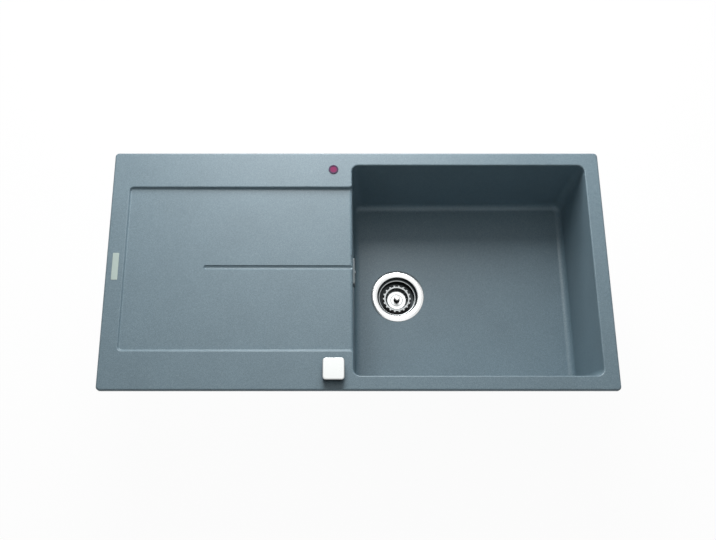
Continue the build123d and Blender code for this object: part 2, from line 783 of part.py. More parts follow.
with BuildPart() as basket_strainer:
    with BuildSketch(waste_section):
        with BuildLine():
            Polyline(
                (0, basket_under),
                (basket_floor_radius + basket_sheet / 2, basket_under),
                (basket_mouth_radius + basket_sheet, basket_lip),
                (basket_root_radius, basket_lip),
                (basket_root_radius, -basket_rim_depth),
                (basket_mouth_radius, -basket_rim_depth),
                (basket_floor_radius - basket_sheet / 2, -basket_floor_depth),
                (basket_bead_radius + basket_bead_height, -basket_floor_depth),
                (basket_bead_radius, basket_bead_height - basket_floor_depth),
                (basket_bead_radius - basket_bead_height, -basket_floor_depth),
                (0, -basket_floor_depth),
                close=True,
            )
        make_face()
    revolve(axis=waste_axis)
    with BuildSketch(waste_plane.offset(basket_lip)):
        with PolarLocations(basket_tip_radius - basket_tooth_length / 2, basket_tooth_count):
            Rectangle(basket_tooth_length, basket_tooth_width)
    extrude(amount=basket_sheet)
    with Locations((waste_x, 0, flange_z - basket_floor_depth + basket_slot_lift)):
        with PolarLocations(basket_mouth_radius, basket_tooth_count, start_angle=180 / basket_tooth_count):
            Box(
                2 * (basket_mouth_radius - basket_floor_radius + basket_sheet),
                basket_slot_width,
                basket_slot_height,
                align=(Align.CENTER, Align.CENTER, Align.MIN),
                mode=Mode.SUBTRACT,
            )
basket_strainer.part.label = "basket_strainer"
export_step(basket_strainer.part, "parts/basket_strainer.step")

with BuildPart() as basket_knob:
    knob_top = basket_knob_height - basket_floor_depth
    with BuildSketch(waste_section):
        with BuildLine():
            Polyline(
                (0, -basket_floor_depth),
                (basket_knob_foot_radius, -basket_floor_depth),
                (basket_knob_waist_radius, basket_knob_foot_height - basket_floor_depth),
                (basket_knob_stem_radius, basket_knob_waist_height - basket_floor_depth),
                (basket_knob_stem_radius, knob_top - basket_knob_head),
                (basket_knob_radius, knob_top - basket_knob_grip_height),
                (basket_knob_radius, knob_top),
                (0, knob_top),
                close=True,
            )
        make_face()
    revolve(axis=waste_axis)
    fillet(basket_knob.faces().sort_by(Axis.Z)[-1].edges(), basket_knob_head / 2)
basket_knob.part.label = "basket_knob"
export_step(basket_knob.part, "parts/basket_knob.step")

with BuildPart() as basket_stem:
    with BuildSketch(waste_plane.offset(basket_under)):
        Circle(stem_radius)
    extrude(amount=-basket_stem_length)
    chamfer(basket_stem.faces().sort_by(Axis.Z)[0].edges(), basket_stem_wall / 3)
    with BuildSketch(waste_plane.offset(-pin_top_depth + loose_gap)):
        Circle(lift_pin_radius + loose_gap)
    extrude(amount=-basket_stem_length, mode=Mode.SUBTRACT)
basket_stem.part.label = "basket_stem"
export_step(basket_stem.part, "parts/basket_stem.step")

with BuildPart() as basket_seal:
    seal_flat = basket_under - basket_seal_thickness
    with BuildSketch(waste_section):
        with BuildLine():
            Polyline(
                (stem_radius, basket_under),
                (basket_floor_radius + basket_sheet / 2, basket_under),
                (basket_seal_radius, seat_height(basket_seal_radius) + loose_gap + basket_seal_lip),
                (basket_seal_radius, seat_height(basket_seal_radius) + loose_gap),
                (seat_hole_radius, seat_height(seat_hole_radius) + loose_gap),
                (basket_floor_radius, seal_flat),
                (stem_radius, seal_flat),
                close=True,
            )
        make_face()
    revolve(axis=waste_axis)
basket_seal.part.label = "basket_seal"
export_step(basket_seal.part, "parts/basket_seal.step")

# ---------------------------------------------------------------- the lift
with BuildPart() as lift_pin:
    with BuildSketch(Plane(origin=(waste_x, 0, pin_foot_z))):
        Circle(lift_pin_radius)
    extrude(amount=lift_pin_length)
    chamfer(lift_pin.faces().sort_by(Axis.Z)[-1].edges(), lift_pin_radius / 4)
    with BuildSketch(Plane(origin=(waste_x, 0, pin_foot_z + lift_pin_collar_lift))):
        Circle(lift_pin_collar_radius)
    extrude(amount=lift_pin_collar_height)
lift_pin.part.label = "lift_pin"
export_step(lift_pin.part, "parts/lift_pin.step")

rest_angle = radians(180 + lever_half_swing)
crank_angle = radians(lever_half_swing - 90)
lever_plane = Plane(origin=(lever_x, 0, lever_z), x_dir=(1, 0, 0), z_dir=(0, -1, 0))

with BuildPart() as lift_shaft:
    with BuildSketch(lever_plane):
        Circle(finger_hub_radius)
        with Locations((finger_radius * cos(rest_angle), finger_radius * sin(rest_angle))):
            Circle(finger_tip_radius)
        with Locations((finger_radius / 2 * cos(rest_angle), finger_radius / 2 * sin(rest_angle))):
            Rectangle(finger_radius, 2 * finger_half_thickness, rotation=lever_half_swing)
    extrude(amount=finger_width / 2, both=True)
    with BuildSketch(lever_plane):
        Circle(shaft_radius)
    extrude(amount=-crank_back_y)
    with BuildSketch(lever_plane.offset(-crank_back_y)):
        Circle(crank_screw_radius)
    extrude(amount=-crank_screw_length, mode=Mode.SUBTRACT)
lift_shaft.part.label = "lift_shaft"
export_step(lift_shaft.part, "parts/lift_shaft.step")

with BuildPart() as shaft_seal_ring:
    with BuildSketch(lever_plane.offset(shaft_boss_reach)):
        Circle(shaft_radius + shaft_ring_width)
        Circle(shaft_radius + running_gap, mode=Mode.SUBTRACT)
    extrude(amount=-shaft_ring_length)
shaft_seal_ring.part.label = "shaft_seal_ring"
export_step(shaft_seal_ring.part, "parts/shaft_seal_ring.step")

with BuildPart() as shaft_gland_nut:
    with BuildSketch(lever_plane.offset(shaft_boss_reach)):
        RegularPolygon(gland_radius, 6)
        Circle(shaft_radius + running_gap, mode=Mode.SUBTRACT)
    extrude(amount=gland_height)
shaft_gland_nut.part.label = "shaft_gland_nut"
export_step(shaft_gland_nut.part, "parts/shaft_gland_nut.step")

with BuildPart() as crank_arm:
    crank_reach = (crank_radius * cos(crank_angle), crank_radius * sin(crank_angle))
    nipple_slot_radius = crank_radius - crank_nipple_play / 2
    with BuildSketch(lever_plane.offset(-crank_front_y)):
        Circle(crank_hub_radius)
        with Locations(crank_reach):
            Circle(nipple_radius + crank_eye_wall)
        make_hull()
        Circle(shaft_radius, mode=Mode.SUBTRACT)
        with Locations((nipple_slot_radius * cos(crank_angle), nipple_slot_radius * sin(crank_angle))):
            SlotOverall(
                2 * (nipple_radius + loose_gap) + crank_nipple_play,
                2 * (nipple_radius + loose_gap),
                rotation=degrees(crank_angle),
                mode=Mode.SUBTRACT,
            )
    extrude(amount=crank_thickness)
    with BuildSketch(lever_plane.offset(-core_y)):
        with Locations(crank_reach):
            Rectangle(crank_radius, 6 * nipple_radius, rotation=degrees(crank_angle))
    extrude(amount=crank_slit / 2, both=True, mode=Mode.SUBTRACT)
crank_arm.part.label = "crank_arm"
export_step(crank_arm.part, "parts/crank_arm.step")

with BuildPart() as crank_screw:
    with BuildSketch(lever_plane.offset(-crank_back_y)):
        Circle(crank_screw_head_radius)
    extrude(amount=crank_screw_head_height)
    with BuildSketch(lever_plane.offset(-crank_back_y)):
        Circle(crank_screw_radius)
    extrude(amount=-crank_screw_length)
    with BuildSketch(lever_plane.offset(crank_screw_head_height - crank_back_y)):
        Rectangle(2 * crank_screw_head_radius, driver_slot_width)
    extrude(amount=-crank_screw_head_height / 2, mode=Mode.SUBTRACT)
crank_screw.part.label = "crank_screw"
export_step(crank_screw.part, "parts/crank_screw.step")

# ---------------------------------------------------------------- the control
bush_bottom = deck_z + bush_gasket_thickness + bush_flange_height - bush_sleeve_length
bush_top = deck_z + bush_gasket_thickness + bush_flange_height
housing_top = bush_bottom
housing_bottom = housing_top - housing_height
drum_z = housing_top - housing_wall - drum_height / 2 - drum_end_gap
housing_collar_top = -back_washer_thickness - back_nut_height - loose_gap
spout_end_y = control_y + housing_radius + housing_spout_length
sheath_start = (control_x - core_wrap_radius, spout_end_y - ferrule_length, drum_z)


def control_plane(height):
    """A level plane on the control knob's axis."""
    return Plane(origin=(control_x, control_y, height))


with BuildPart() as knob_gasket:
    with BuildSketch(control_plane(deck_z)):
        Circle(bush_flange_radius - knob_gasket_inset)
        Circle(bush_sleeve_radius, mode=Mode.SUBTRACT)
    extrude(amount=bush_gasket_thickness)
knob_gasket.part.label = "knob_gasket"
export_step(knob_gasket.part, "parts/knob_gasket.step")

with BuildPart() as knob_bush:
    with BuildSketch(control_plane(bush_top)):
        Circle(bush_flange_radius)
    extrude(amount=-bush_flange_height)
    chamfer(knob_bush.faces().sort_by(Axis.Z)[-1].edges(), bush_flange_height / 3)
    with BuildSketch(control_plane(bush_top)):
        Circle(bush_sleeve_radius)
    extrude(amount=-bush_sleeve_length)
    with BuildSketch(control_plane(bush_top)):
        Circle(spindle_radius + running_gap)
    extrude(amount=-bush_sleeve_length, mode=Mode.SUBTRACT)
    with BuildSketch(control_plane(bush_top)):
        Circle(spindle_radius + shaft_ring_width)
    extrude(amount=-shaft_ring_length, mode=Mode.SUBTRACT)
knob_bush.part.label = "knob_bush"
export_step(knob_bush.part, "parts/knob_bush.step")

with BuildPart() as spindle_seal_ring:
    with BuildSketch(control_plane(bush_top)):
        Circle(spindle_radius + shaft_ring_width)
        Circle(spindle_radius + running_gap, mode=Mode.SUBTRACT)
    extrude(amount=-shaft_ring_length)
spindle_seal_ring.part.label = "spindle_seal_ring"
export_step(spindle_seal_ring.part, "parts/spindle_seal_ring.step")

with BuildPart() as back_washer:
    with BuildSketch(control_plane(0)):
        Circle(back_washer_radius)
        Circle(bush_sleeve_radius, mode=Mode.SUBTRACT)
    extrude(amount=-back_washer_thickness)
back_washer.part.label = "back_washer"
export_step(back_washer.part, "parts/back_washer.step")

with BuildPart() as back_nut:
    with BuildSketch(control_plane(-back_washer_thickness)):
        RegularPolygon(back_nut_across_flats / 2, 6, major_radius=False)
        Circle(bush_sleeve_radius, mode=Mode.SUBTRACT)
    extrude(amount=-back_nut_height)
back_nut.part.label = "back_nut"
export_step(back_nut.part, "parts/back_nut.step")

with BuildPart() as control_knob:
    knob_bottom = deck_z + knob_lift
    with BuildSketch(control_plane(knob_bottom)):
        RectangleRounded(knob_side, knob_side, knob_corner_radius)
    extrude(amount=knob_height)
    fillet(control_knob.faces().sort_by(Axis.Z)[-1].edges(), knob_edge_radius)
    with BuildSketch(control_plane(knob_bottom)):
        RectangleRounded(
            knob_side - 2 * knob_shell, knob_side - 2 * knob_shell, knob_corner_radius - knob_shell
        )
    extrude(amount=knob_height - knob_shell, mode=Mode.SUBTRACT)
    with BuildSketch(control_plane(knob_bottom + knob_boss_recess)):
        Circle(knob_boss_radius)
    extrude(amount=knob_height - knob_shell)
    with BuildSketch(control_plane(knob_bottom)):
        Circle(spindle_radius)
    extrude(amount=knob_height - knob_shell - knob_boss_recess, mode=Mode.SUBTRACT)
    grub_plane = Plane(
        origin=(control_x, control_y - spindle_radius, knob_bottom + knob_height / 2),
        x_dir=(1, 0, 0),
        z_dir=(0, -1, 0),
    )
    with BuildSketch(grub_plane):
        Circle(grub_screw_radius)
    extrude(amount=knob_boss_radius - spindle_radius, mode=Mode.SUBTRACT)
control_knob.part.label = "control_knob"
export_step(control_knob.part, "parts/control_knob.step")

with BuildPart() as knob_grub_screw:
    with BuildSketch(grub_plane):
        Circle(grub_screw_radius)
    extrude(amount=knob_boss_radius - spindle_radius)
knob_grub_screw.part.label = "knob_grub_screw"
export_step(knob_grub_screw.part, "parts/knob_grub_screw.step")

with BuildPart() as knob_spindle:
    with BuildSketch(control_plane(drum_z - drum_height / 2)):
        Circle(spindle_radius)
    extrude(amount=knob_bottom + knob_height - knob_shell - knob_boss_recess - drum_z + drum_height / 2)
knob_spindle.part.label = "knob_spindle"
export_step(knob_spindle.part, "parts/knob_spindle.step")

with BuildPart() as cable_drum:
    with BuildSketch(control_plane(drum_z)):
        Circle(drum_flange_radius)
    extrude(amount=drum_height / 2, both=True)
    with BuildSketch(control_plane(drum_z)):
        Circle(drum_flange_radius)
        Circle(core_wrap_radius - core_radius, mode=Mode.SUBTRACT)
    extrude(amount=drum_groove_height / 2, both=True, mode=Mode.SUBTRACT)
    with BuildSketch(control_plane(drum_z)):
        with PolarLocations(core_wrap_radius, 1, start_angle=180 + core_wrap):
            Circle(drum_nipple_radius)
    extrude(amount=drum_height / 2, both=True, mode=Mode.SUBTRACT)
    with BuildSketch(control_plane(drum_z)):
        Circle(spindle_radius)
    extrude(amount=drum_height, both=True, mode=Mode.SUBTRACT)
cable_drum.part.label = "cable_drum"
export_step(cable_drum.part, "parts/cable_drum.step")

with BuildPart() as core_drum_end:
    with BuildSketch(Plane(origin=(control_x, control_y, drum_z), x_dir=(-1, 0, 0), z_dir=(0, 1, 0))):
        with Locations((core_wrap_radius, 0)):
            RegularPolygon(core_radius, 6)
    revolve(axis=Axis((control_x, control_y, drum_z), (0, 0, 1)), revolution_arc=core_wrap)
    with BuildSketch(control_plane(drum_z)):
        with PolarLocations(core_wrap_radius, 1, start_angle=180 + core_wrap):
            Circle(drum_nipple_radius)
    extrude(amount=drum_groove_height / 2, both=True)
core_drum_end.part.label = "core_drum_end"
export_step(core_drum_end.part, "parts/core_drum_end.step")

screw_circle = housing_radius - housing_wall - lid_screw_radius - lid_screw_inset

with BuildPart() as drum_housing:
    with BuildSketch(control_plane(housing_bottom)):
        Circle(housing_radius)
    extrude(amount=housing_height)
    chamfer(drum_housing.faces().sort_by(Axis.Z)[-1].edges(), housing_wall / 2)
    with BuildSketch(control_plane(housing_top)):
        Circle(bush_sleeve_radius + housing_collar_wall)
    extrude(amount=housing_collar_top - housing_top)
    spout_plane = Plane(origin=(sheath_start[0], control_y, drum_z), x_dir=(1, 0, 0), z_dir=(0, 1, 0))
    with BuildSketch(spout_plane):
        Circle(housing_spout_radius)
    extrude(amount=housing_radius + housing_spout_length)
    with BuildSketch(control_plane(housing_bottom)):
        Circle(housing_radius - housing_wall)
    extrude(amount=housing_height - housing_wall, mode=Mode.SUBTRACT)
    with BuildSketch(control_plane(housing_bottom)):
        with PolarLocations(screw_circle, lid_screw_count, start_angle=30):
            Circle(lid_screw_radius + lid_screw_boss_wall)
    extrude(amount=housing_height - housing_wall)
    with BuildSketch(control_plane(housing_bottom)):
        Circle(drum_flange_radius + drum_side_gap)
    extrude(amount=housing_height - housing_wall, mode=Mode.SUBTRACT)
    with BuildSketch(control_plane(housing_bottom)):
        with PolarLocations(screw_circle, lid_screw_count, start_angle=30):
            Circle(lid_screw_radius)
    extrude(amount=lid_screw_length, mode=Mode.SUBTRACT)
    with BuildSketch(control_plane(housing_bottom)):
        Circle(spindle_radius + spindle_hole_gap)
    extrude(amount=housing_height + housing_wall, mode=Mode.SUBTRACT)
    with BuildSketch(control_plane(housing_top)):
        Circle(bush_sleeve_radius)
    extrude(amount=housing_collar_top - housing_top, mode=Mode.SUBTRACT)
    with BuildSketch(spout_plane):
        Circle(core_radius + loose_gap)
    extrude(amount=housing_radius + housing_spout_length, mode=Mode.SUBTRACT)
    with BuildSketch(spout_plane.offset(housing_radius + housing_spout_length)):
        Circle(ferrule_radius)
    extrude(amount=-ferrule_length, mode=Mode.SUBTRACT)
drum_housing.part.label = "drum_housing"
export_step(drum_housing.part, "parts/drum_housing.step")

with BuildPart() as drum_housing_lid:
    with BuildSketch(control_plane(housing_bottom)):
        Circle(housing_radius)
        with PolarLocations(screw_circle, lid_screw_count, start_angle=30):
            Circle(lid_screw_radius, mode=Mode.SUBTRACT)
    extrude(amount=-housing_lid_thickness)
drum_housing_lid.part.label = "drum_housing_lid"
export_step(drum_housing_lid.part, "parts/drum_housing_lid.step")

with BuildPart() as lid_screws:
    with BuildSketch(control_plane(housing_bottom - housing_lid_thickness)):
        with PolarLocations(screw_circle, lid_screw_count, start_angle=30):
            Circle(lid_screw_radius)
    extrude(amount=lid_screw_length + housing_lid_thickness)
    with BuildSketch(control_plane(housing_bottom - housing_lid_thickness)):
        with PolarLocations(screw_circle, lid_screw_count, start_angle=30):
            Circle(lid_screw_head_radius)
    extrude(amount=-lid_screw_head_height)
lid_screws.part.label = "lid_screws"
export_step(lid_screws.part, "parts/lid_screws.step")

# ---------------------------------------------------------------- the control cable
cable_route = [
    sheath_start,
    (sheath_start[0], sheath_start[1] + 54.0, drum_z),
    (bowl_left - 42.5, core_y - 41.0, drum_z - 41.5),
    (bowl_left - 37.5, core_y - 23.0, drum_z - 99.5),
    (bowl_left - 30.5, core_y - 13.0, core_z + 89.85),
    (adjuster_start_x - 65.0, core_y - 5.0, core_z + 37.85),
    (adjuster_start_x - 33.0, core_y, core_z),
    (adjuster_start_x, core_y, core_z),
]


def bend_radii(route):
    """Arc radii as large as the runs allow: 0.45 of the shorter run over the tangent of half the turn."""
    points = [Vector(*point) for point in route]
    radii = []
    for before, corner, after in zip(points, points[1:], points[2:]):
        turn = radians((corner - before).get_angle(after - corner))
        radii.append(0.45 * min((corner - before).length, (after - corner).length) / tan(turn / 2))
    return radii


cable_radii = bend_radii(cable_route)
print("control cable bend radii", [round(radius, 1) for radius in cable_radii])

with BuildPart() as cable_sheath:
    with BuildLine() as cable_path:
        FilletPolyline(*cable_route, radius=cable_radii)
    with BuildSketch(Plane(origin=sheath_start, x_dir=(1, 0, 0), z_dir=(0, 1, 0))):
        Circle(sheath_radius)
    sweep()
cable_sheath.part.label = "cable_sheath"
export_step(cable_sheath.part, "parts/cable_sheath.step")

cable_length = cable_path.wire().length
sheath_section = pi * sheath_radius**2
print("control cable sheath length", round(cable_length, 1))
print("sheath volume over section times length", cable_sheath.part.volume / (sheath_section * cable_length))

adjuster_plane = Plane(origin=(adjuster_start_x, core_y, core_z), x_dir=(0, 1, 0), z_dir=(1, 0, 0))

with BuildPart() as cable_ferrules:
    with BuildSketch(adjuster_plane):
        Circle(ferrule_radius)
        Circle(sheath_radius, mode=Mode.SUBTRACT)
    extrude(amount=-ferrule_length)
    with BuildSketch(Plane(origin=sheath_start, x_dir=(1, 0, 0), z_dir=(0, 1, 0))):
        Circle(ferrule_radius)
        Circle(sheath_radius, mode=Mode.SUBTRACT)
    extrude(amount=ferrule_length)
cable_ferrules.part.label = "cable_ferrules"
export_step(cable_ferrules.part, "parts/cable_ferrules.step")

with BuildPart() as cable_adjuster:
    with BuildSketch(adjuster_plane):
        Circle(adjuster_radius)
    extrude(amount=adjuster_length)
    with BuildSketch(adjuster_plane.offset(adjuster_length)):
        Circle(core_radius + running_gap)
    extrude(amount=adjuster_nose - adjuster_length, mode=Mode.SUBTRACT)
cable_adjuster.part.label = "cable_adjuster"
export_step(cable_adjuster.part, "parts/cable_adjuster.step")

bracket_plane = Plane(origin=(bracket_x, core_y, core_z), x_dir=(0, 1, 0), z_dir=(1, 0, 0))

with BuildPart() as adjuster_nuts:
    with BuildSketch(bracket_plane.offset(bracket_thickness / 2)):
        RegularPolygon(adjuster_nut_flats / 2, 6, major_radius=False)
        Circle(adjuster_radius, mode=Mode.SUBTRACT)
    extrude(amount=adjuster_nut_height)
    with BuildSketch(bracket_plane.offset(-bracket_thickness / 2)):
        RegularPolygon(adjuster_nut_flats / 2, 6, major_radius=False)
        Circle(adjuster_radius, mode=Mode.SUBTRACT)
    extrude(amount=-adjuster_nut_height)
adjuster_nuts.part.label = "adjuster_nuts"
export_step(adjuster_nuts.part, "parts/adjuster_nuts.step")

with BuildPart() as cable_core:
    with BuildSketch(adjuster_plane.offset(adjuster_length - core_hidden_length)):
        Circle(core_radius)
    extrude(amount=core_end_x - adjuster_start_x - adjuster_length + core_hidden_length)
    with BuildSketch(Plane(origin=(core_end_x, core_y, core_z), x_dir=(1, 0, 0), z_dir=(0, -1, 0))):
        Circle(nipple_radius)
    extrude(amount=crank_thickness / 2, both=True)
cable_core.part.label = "cable_core"
export_step(cable_core.part, "parts/cable_core.step")

# ---------------------------------------------------------------- the overflow
overflow_z = deck_z - overflow_depth
wall_inner_x = bowl_left + overflow_depth * draft_slope
wall_outer_x = wall_inner_x - wall
tilt = radians(draft)
inside_plane = Plane(origin=(wall_inner_x, 0, overflow_z), x_dir=(0, 1, 0), z_dir=(cos(tilt), 0, sin(tilt)))
outside_plane = Plane(
    origin=inside_plane.offset(-wall * cos(tilt)).origin, x_dir=(0, 1, 0), z_dir=(-cos(tilt), 0, -sin(tilt))
)
hose_x = wall_outer_x - overflow_gasket_thickness - elbow_depth + spigot_radius + elbow_spigot_inset
hose_top = deck_z - elbow_collar_bottom_depth
hose_end_x = waste_x - body_outer_radius - inlet_collar_length

with BuildPart() as overflow_cover:
    with BuildSketch(inside_plane):
        RectangleRounded(cover_length, cover_height, cover_corner_radius)
    extrude(amount=cover_stand)
    fillet(overflow_cover.faces().sort_by(Axis.X)[-1].edges(), cover_sheet)
    with BuildSketch(inside_plane):
        RectangleRounded(
            cover_length - 2 * cover_sheet, cover_height - 2 * cover_sheet, cover_corner_radius - cover_sheet
        )
    extrude(amount=cover_stand - cover_sheet, mode=Mode.SUBTRACT)
    with BuildSketch(inside_plane):
        with Locations((0, -cover_height / 2)):
            Rectangle(overflow_slot_length, 3 * cover_sheet)
    extrude(amount=cover_stand - cover_sheet, mode=Mode.SUBTRACT)
    with BuildSketch(inside_plane):
        Circle(2 * overflow_screw_radius)
    extrude(amount=cover_stand - cover_sheet)
    with BuildSketch(inside_plane):
        Circle(overflow_screw_radius)
    extrude(amount=cover_stand, mode=Mode.SUBTRACT)
overflow_cover.part.label = "overflow_cover"
export_step(overflow_cover.part, "parts/overflow_cover.step")

with BuildPart() as overflow_gasket:
    with BuildSketch(outside_plane):
        SlotOverall(
            overflow_slot_length + 2 * overflow_gasket_margin,
            overflow_slot_height + 2 * overflow_gasket_margin,
        )
        SlotOverall(overflow_slot_length, overflow_slot_height, mode=Mode.SUBTRACT)
    extrude(amount=overflow_gasket_thickness)
overflow_gasket.part.label = "overflow_gasket"
export_step(overflow_gasket.part, "parts/overflow_gasket.step")

with BuildPart() as overflow_elbow:
    elbow_plane = outside_plane.offset(overflow_gasket_thickness)
    with BuildSketch(elbow_plane):
        RectangleRounded(
            overflow_slot_length + 2 * elbow_flange_margin,
            overflow_slot_height + 2 * elbow_flange_margin,
            elbow_flange_margin,
        )
    extrude(amount=elbow_flange_thickness)
    with BuildSketch(elbow_plane):
        RectangleRounded(
            overflow_slot_length + 2 * elbow_wall,
            overflow_slot_height + 2 * (elbow_wall + elbow_drop),
            overflow_slot_height / 2,
        )
    extrude(amount=elbow_depth)
    fillet(overflow_elbow.faces().sort_by(Axis.X)[0].edges(), 2 * elbow_wall)
    with BuildSketch(Plane(origin=(hose_x, 0, overflow_z))):
        Circle(elbow_collar_radius)
    extrude(amount=hose_top - overflow_z)
    with BuildSketch(Plane(origin=(hose_x, 0, hose_top))):
        Circle(spigot_radius)
    extrude(amount=-elbow_spigot_length)
    with BuildSketch(elbow_plane):
        SlotOverall(overflow_slot_length, overflow_slot_height)
    extrude(amount=elbow_depth - elbow_wall, mode=Mode.SUBTRACT)
    with BuildSketch(Plane(origin=(hose_x, 0, overflow_z))):
        Circle(spigot_radius - spigot_wall)
    extrude(amount=hose_top - overflow_z - elbow_spigot_length, mode=Mode.SUBTRACT)
    with BuildSketch(elbow_plane):
        Circle(2 * overflow_screw_radius)
    extrude(amount=elbow_depth - elbow_wall)
    with BuildSketch(elbow_plane):
        Circle(overflow_screw_radius)
    extrude(amount=elbow_depth / 2, mode=Mode.SUBTRACT)
overflow_elbow.part.label = "overflow_elbow"
export_step(overflow_elbow.part, "parts/overflow_elbow.step")

with BuildPart() as overflow_screw:
    with BuildSketch(inside_plane.offset(cover_stand)):
        Circle(overflow_screw_head_radius)
    extrude(amount=overflow_screw_head_height)
    chamfer(overflow_screw.faces().sort_by(Axis.X)[-1].edges(), overflow_screw_head_height / 2)
    with BuildSketch(inside_plane.offset(cover_stand)):
        Circle(overflow_screw_radius)
    extrude(amount=-cover_stand - wall - overflow_gasket_thickness - elbow_depth / 3)
    with BuildSketch(inside_plane.offset(cover_stand + overflow_screw_head_height)):
        Rectangle(2 * overflow_screw_head_radius, driver_slot_width)
    extrude(amount=-overflow_screw_head_height / 2, mode=Mode.SUBTRACT)
overflow_screw.part.label = "overflow_screw"
export_step(overflow_screw.part, "parts/overflow_screw.step")

bend_start_z = inlet_z + hose_bend_radius
bend_end_x = hose_x + hose_bend_radius
drop_length = hose_top - bend_start_z
bend_length = hose_bend_radius * pi / 2
hose_length = drop_length + bend_length + hose_end_x - bend_end_x
print("overflow hose length", round(hose_length, 1))


def hose_plane(distance):
    """The plane square to the hose's centre line at one distance from its upper end."""
    if distance < drop_length:
        return Plane(origin=(hose_x, 0, hose_top - distance), x_dir=(0, 1, 0), z_dir=(0, 0, -1))
    if distance < drop_length + bend_length:
        turn = (distance - drop_length) / hose_bend_radius
        place = (bend_end_x - hose_bend_radius * cos(turn), 0, bend_start_z - hose_bend_radius * sin(turn))
        return Plane(origin=place, x_dir=(0, 1, 0), z_dir=(sin(turn), 0, -cos(turn)))
    along = distance - drop_length - bend_length
    return Plane(origin=(bend_end_x + along, 0, inlet_z), x_dir=(0, 1, 0), z_dir=(1, 0, 0))


rib_count = int((hose_length - 2 * hose_cuff_length) / hose_pitch)
rib_pitch = (hose_length - 2 * hose_cuff_length) / rib_count
with BuildPart() as overflow_hose:
    with BuildSketch(hose_plane(0)):
        Circle(hose_root_radius)
    for rib in range(rib_count):
        for share, radius in (
            (0.1, hose_root_radius),
            (0.3, hose_crest_radius),
            (0.6, hose_crest_radius),
            (0.8, hose_root_radius),
        ):
            with BuildSketch(hose_plane(hose_cuff_length + (rib + share) * rib_pitch)):
                Circle(radius)
    with BuildSketch(hose_plane(hose_length)):
        Circle(hose_root_radius)
    loft(ruled=True)
    with BuildLine():
        FilletPolyline(
            (hose_x, 0, hose_top), (hose_x, 0, inlet_z), (hose_end_x, 0, inlet_z), radius=hose_bend_radius
        )
    with BuildSketch(hose_plane(0)):
        Circle(spigot_radius)
    sweep(mode=Mode.SUBTRACT)
overflow_hose.part.label = "overflow_hose"
export_step(overflow_hose.part, "parts/overflow_hose.step")

with BuildPart() as hose_clamps:
    for distance in (hose_cuff_length / 2, hose_length - hose_cuff_length / 2):
        with BuildSketch(hose_plane(distance - clamp_band_width / 2)):
            Circle(hose_root_radius + clamp_band_thickness)
            with Locations((hose_root_radius + clamp_lug_size / 2, 0)):
                Rectangle(clamp_lug_size, clamp_lug_size)
            Circle(hose_root_radius, mode=Mode.SUBTRACT)
        extrude(amount=clamp_band_width)
hose_clamps.part.label = "hose_clamps"
export_step(hose_clamps.part, "parts/hose_clamps.step")
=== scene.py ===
import json
from math import pi, radians

import bmesh
import bpy
from mathutils import Matrix, Vector


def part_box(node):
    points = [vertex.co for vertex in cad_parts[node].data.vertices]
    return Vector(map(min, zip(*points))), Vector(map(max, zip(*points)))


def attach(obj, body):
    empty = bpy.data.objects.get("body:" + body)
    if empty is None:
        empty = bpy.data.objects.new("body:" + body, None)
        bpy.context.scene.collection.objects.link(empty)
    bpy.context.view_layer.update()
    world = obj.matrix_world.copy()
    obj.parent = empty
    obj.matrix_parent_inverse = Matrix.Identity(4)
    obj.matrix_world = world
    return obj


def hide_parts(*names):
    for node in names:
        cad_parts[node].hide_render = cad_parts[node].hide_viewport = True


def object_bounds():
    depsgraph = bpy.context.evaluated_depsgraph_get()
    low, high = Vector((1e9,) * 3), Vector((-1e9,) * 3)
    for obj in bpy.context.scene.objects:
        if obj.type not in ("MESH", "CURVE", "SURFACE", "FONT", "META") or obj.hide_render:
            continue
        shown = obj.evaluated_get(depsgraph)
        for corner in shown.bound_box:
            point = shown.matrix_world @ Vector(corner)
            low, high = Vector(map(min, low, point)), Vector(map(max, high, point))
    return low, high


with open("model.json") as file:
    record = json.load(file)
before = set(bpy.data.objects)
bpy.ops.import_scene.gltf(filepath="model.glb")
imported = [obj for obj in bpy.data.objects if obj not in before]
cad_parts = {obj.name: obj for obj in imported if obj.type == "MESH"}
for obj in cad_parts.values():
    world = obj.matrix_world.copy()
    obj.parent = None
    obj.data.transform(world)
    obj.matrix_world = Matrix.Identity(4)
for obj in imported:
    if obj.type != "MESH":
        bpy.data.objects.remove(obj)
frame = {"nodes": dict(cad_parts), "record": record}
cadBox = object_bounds()
mm = 0.001

# the photograph's view, solved from the rim, recess and bowl corners
view = {
    "lens": 46.508,
    "sensor": 36.0,
    "shiftX": 0.0340,
    "place": (-0.0472, -0.6201, 1.7378),
    "pitchDown": 70.51,
    "clipEnd": 50.0,
}

cameraData = bpy.data.cameras.new("photoCamera")
cameraData.lens = view["lens"]
cameraData.sensor_width = view["sensor"]
cameraData.shift_x = view["shiftX"]
cameraData.clip_end = view["clipEnd"]
camera = bpy.data.objects.new("photoCamera", cameraData)
camera.location = view["place"]
camera.rotation_euler = (radians(90 - view["pitchDown"]), 0, 0)
bpy.context.scene.collection.objects.link(camera)
bpy.context.scene.camera = camera
bpy.context.scene.view_settings.view_transform = "Standard"
print("camera placed")


def toLinear(hexColour):
    # sRGB hex to the linear numbers that the shaders take
    values = [int(hexColour[i : i + 2], 16) / 255 for i in (1, 3, 5)]
    return tuple(v / 12.92 if v <= 0.04045 else ((v + 0.055) / 1.055) ** 2.4 for v in values) + (1.0,)


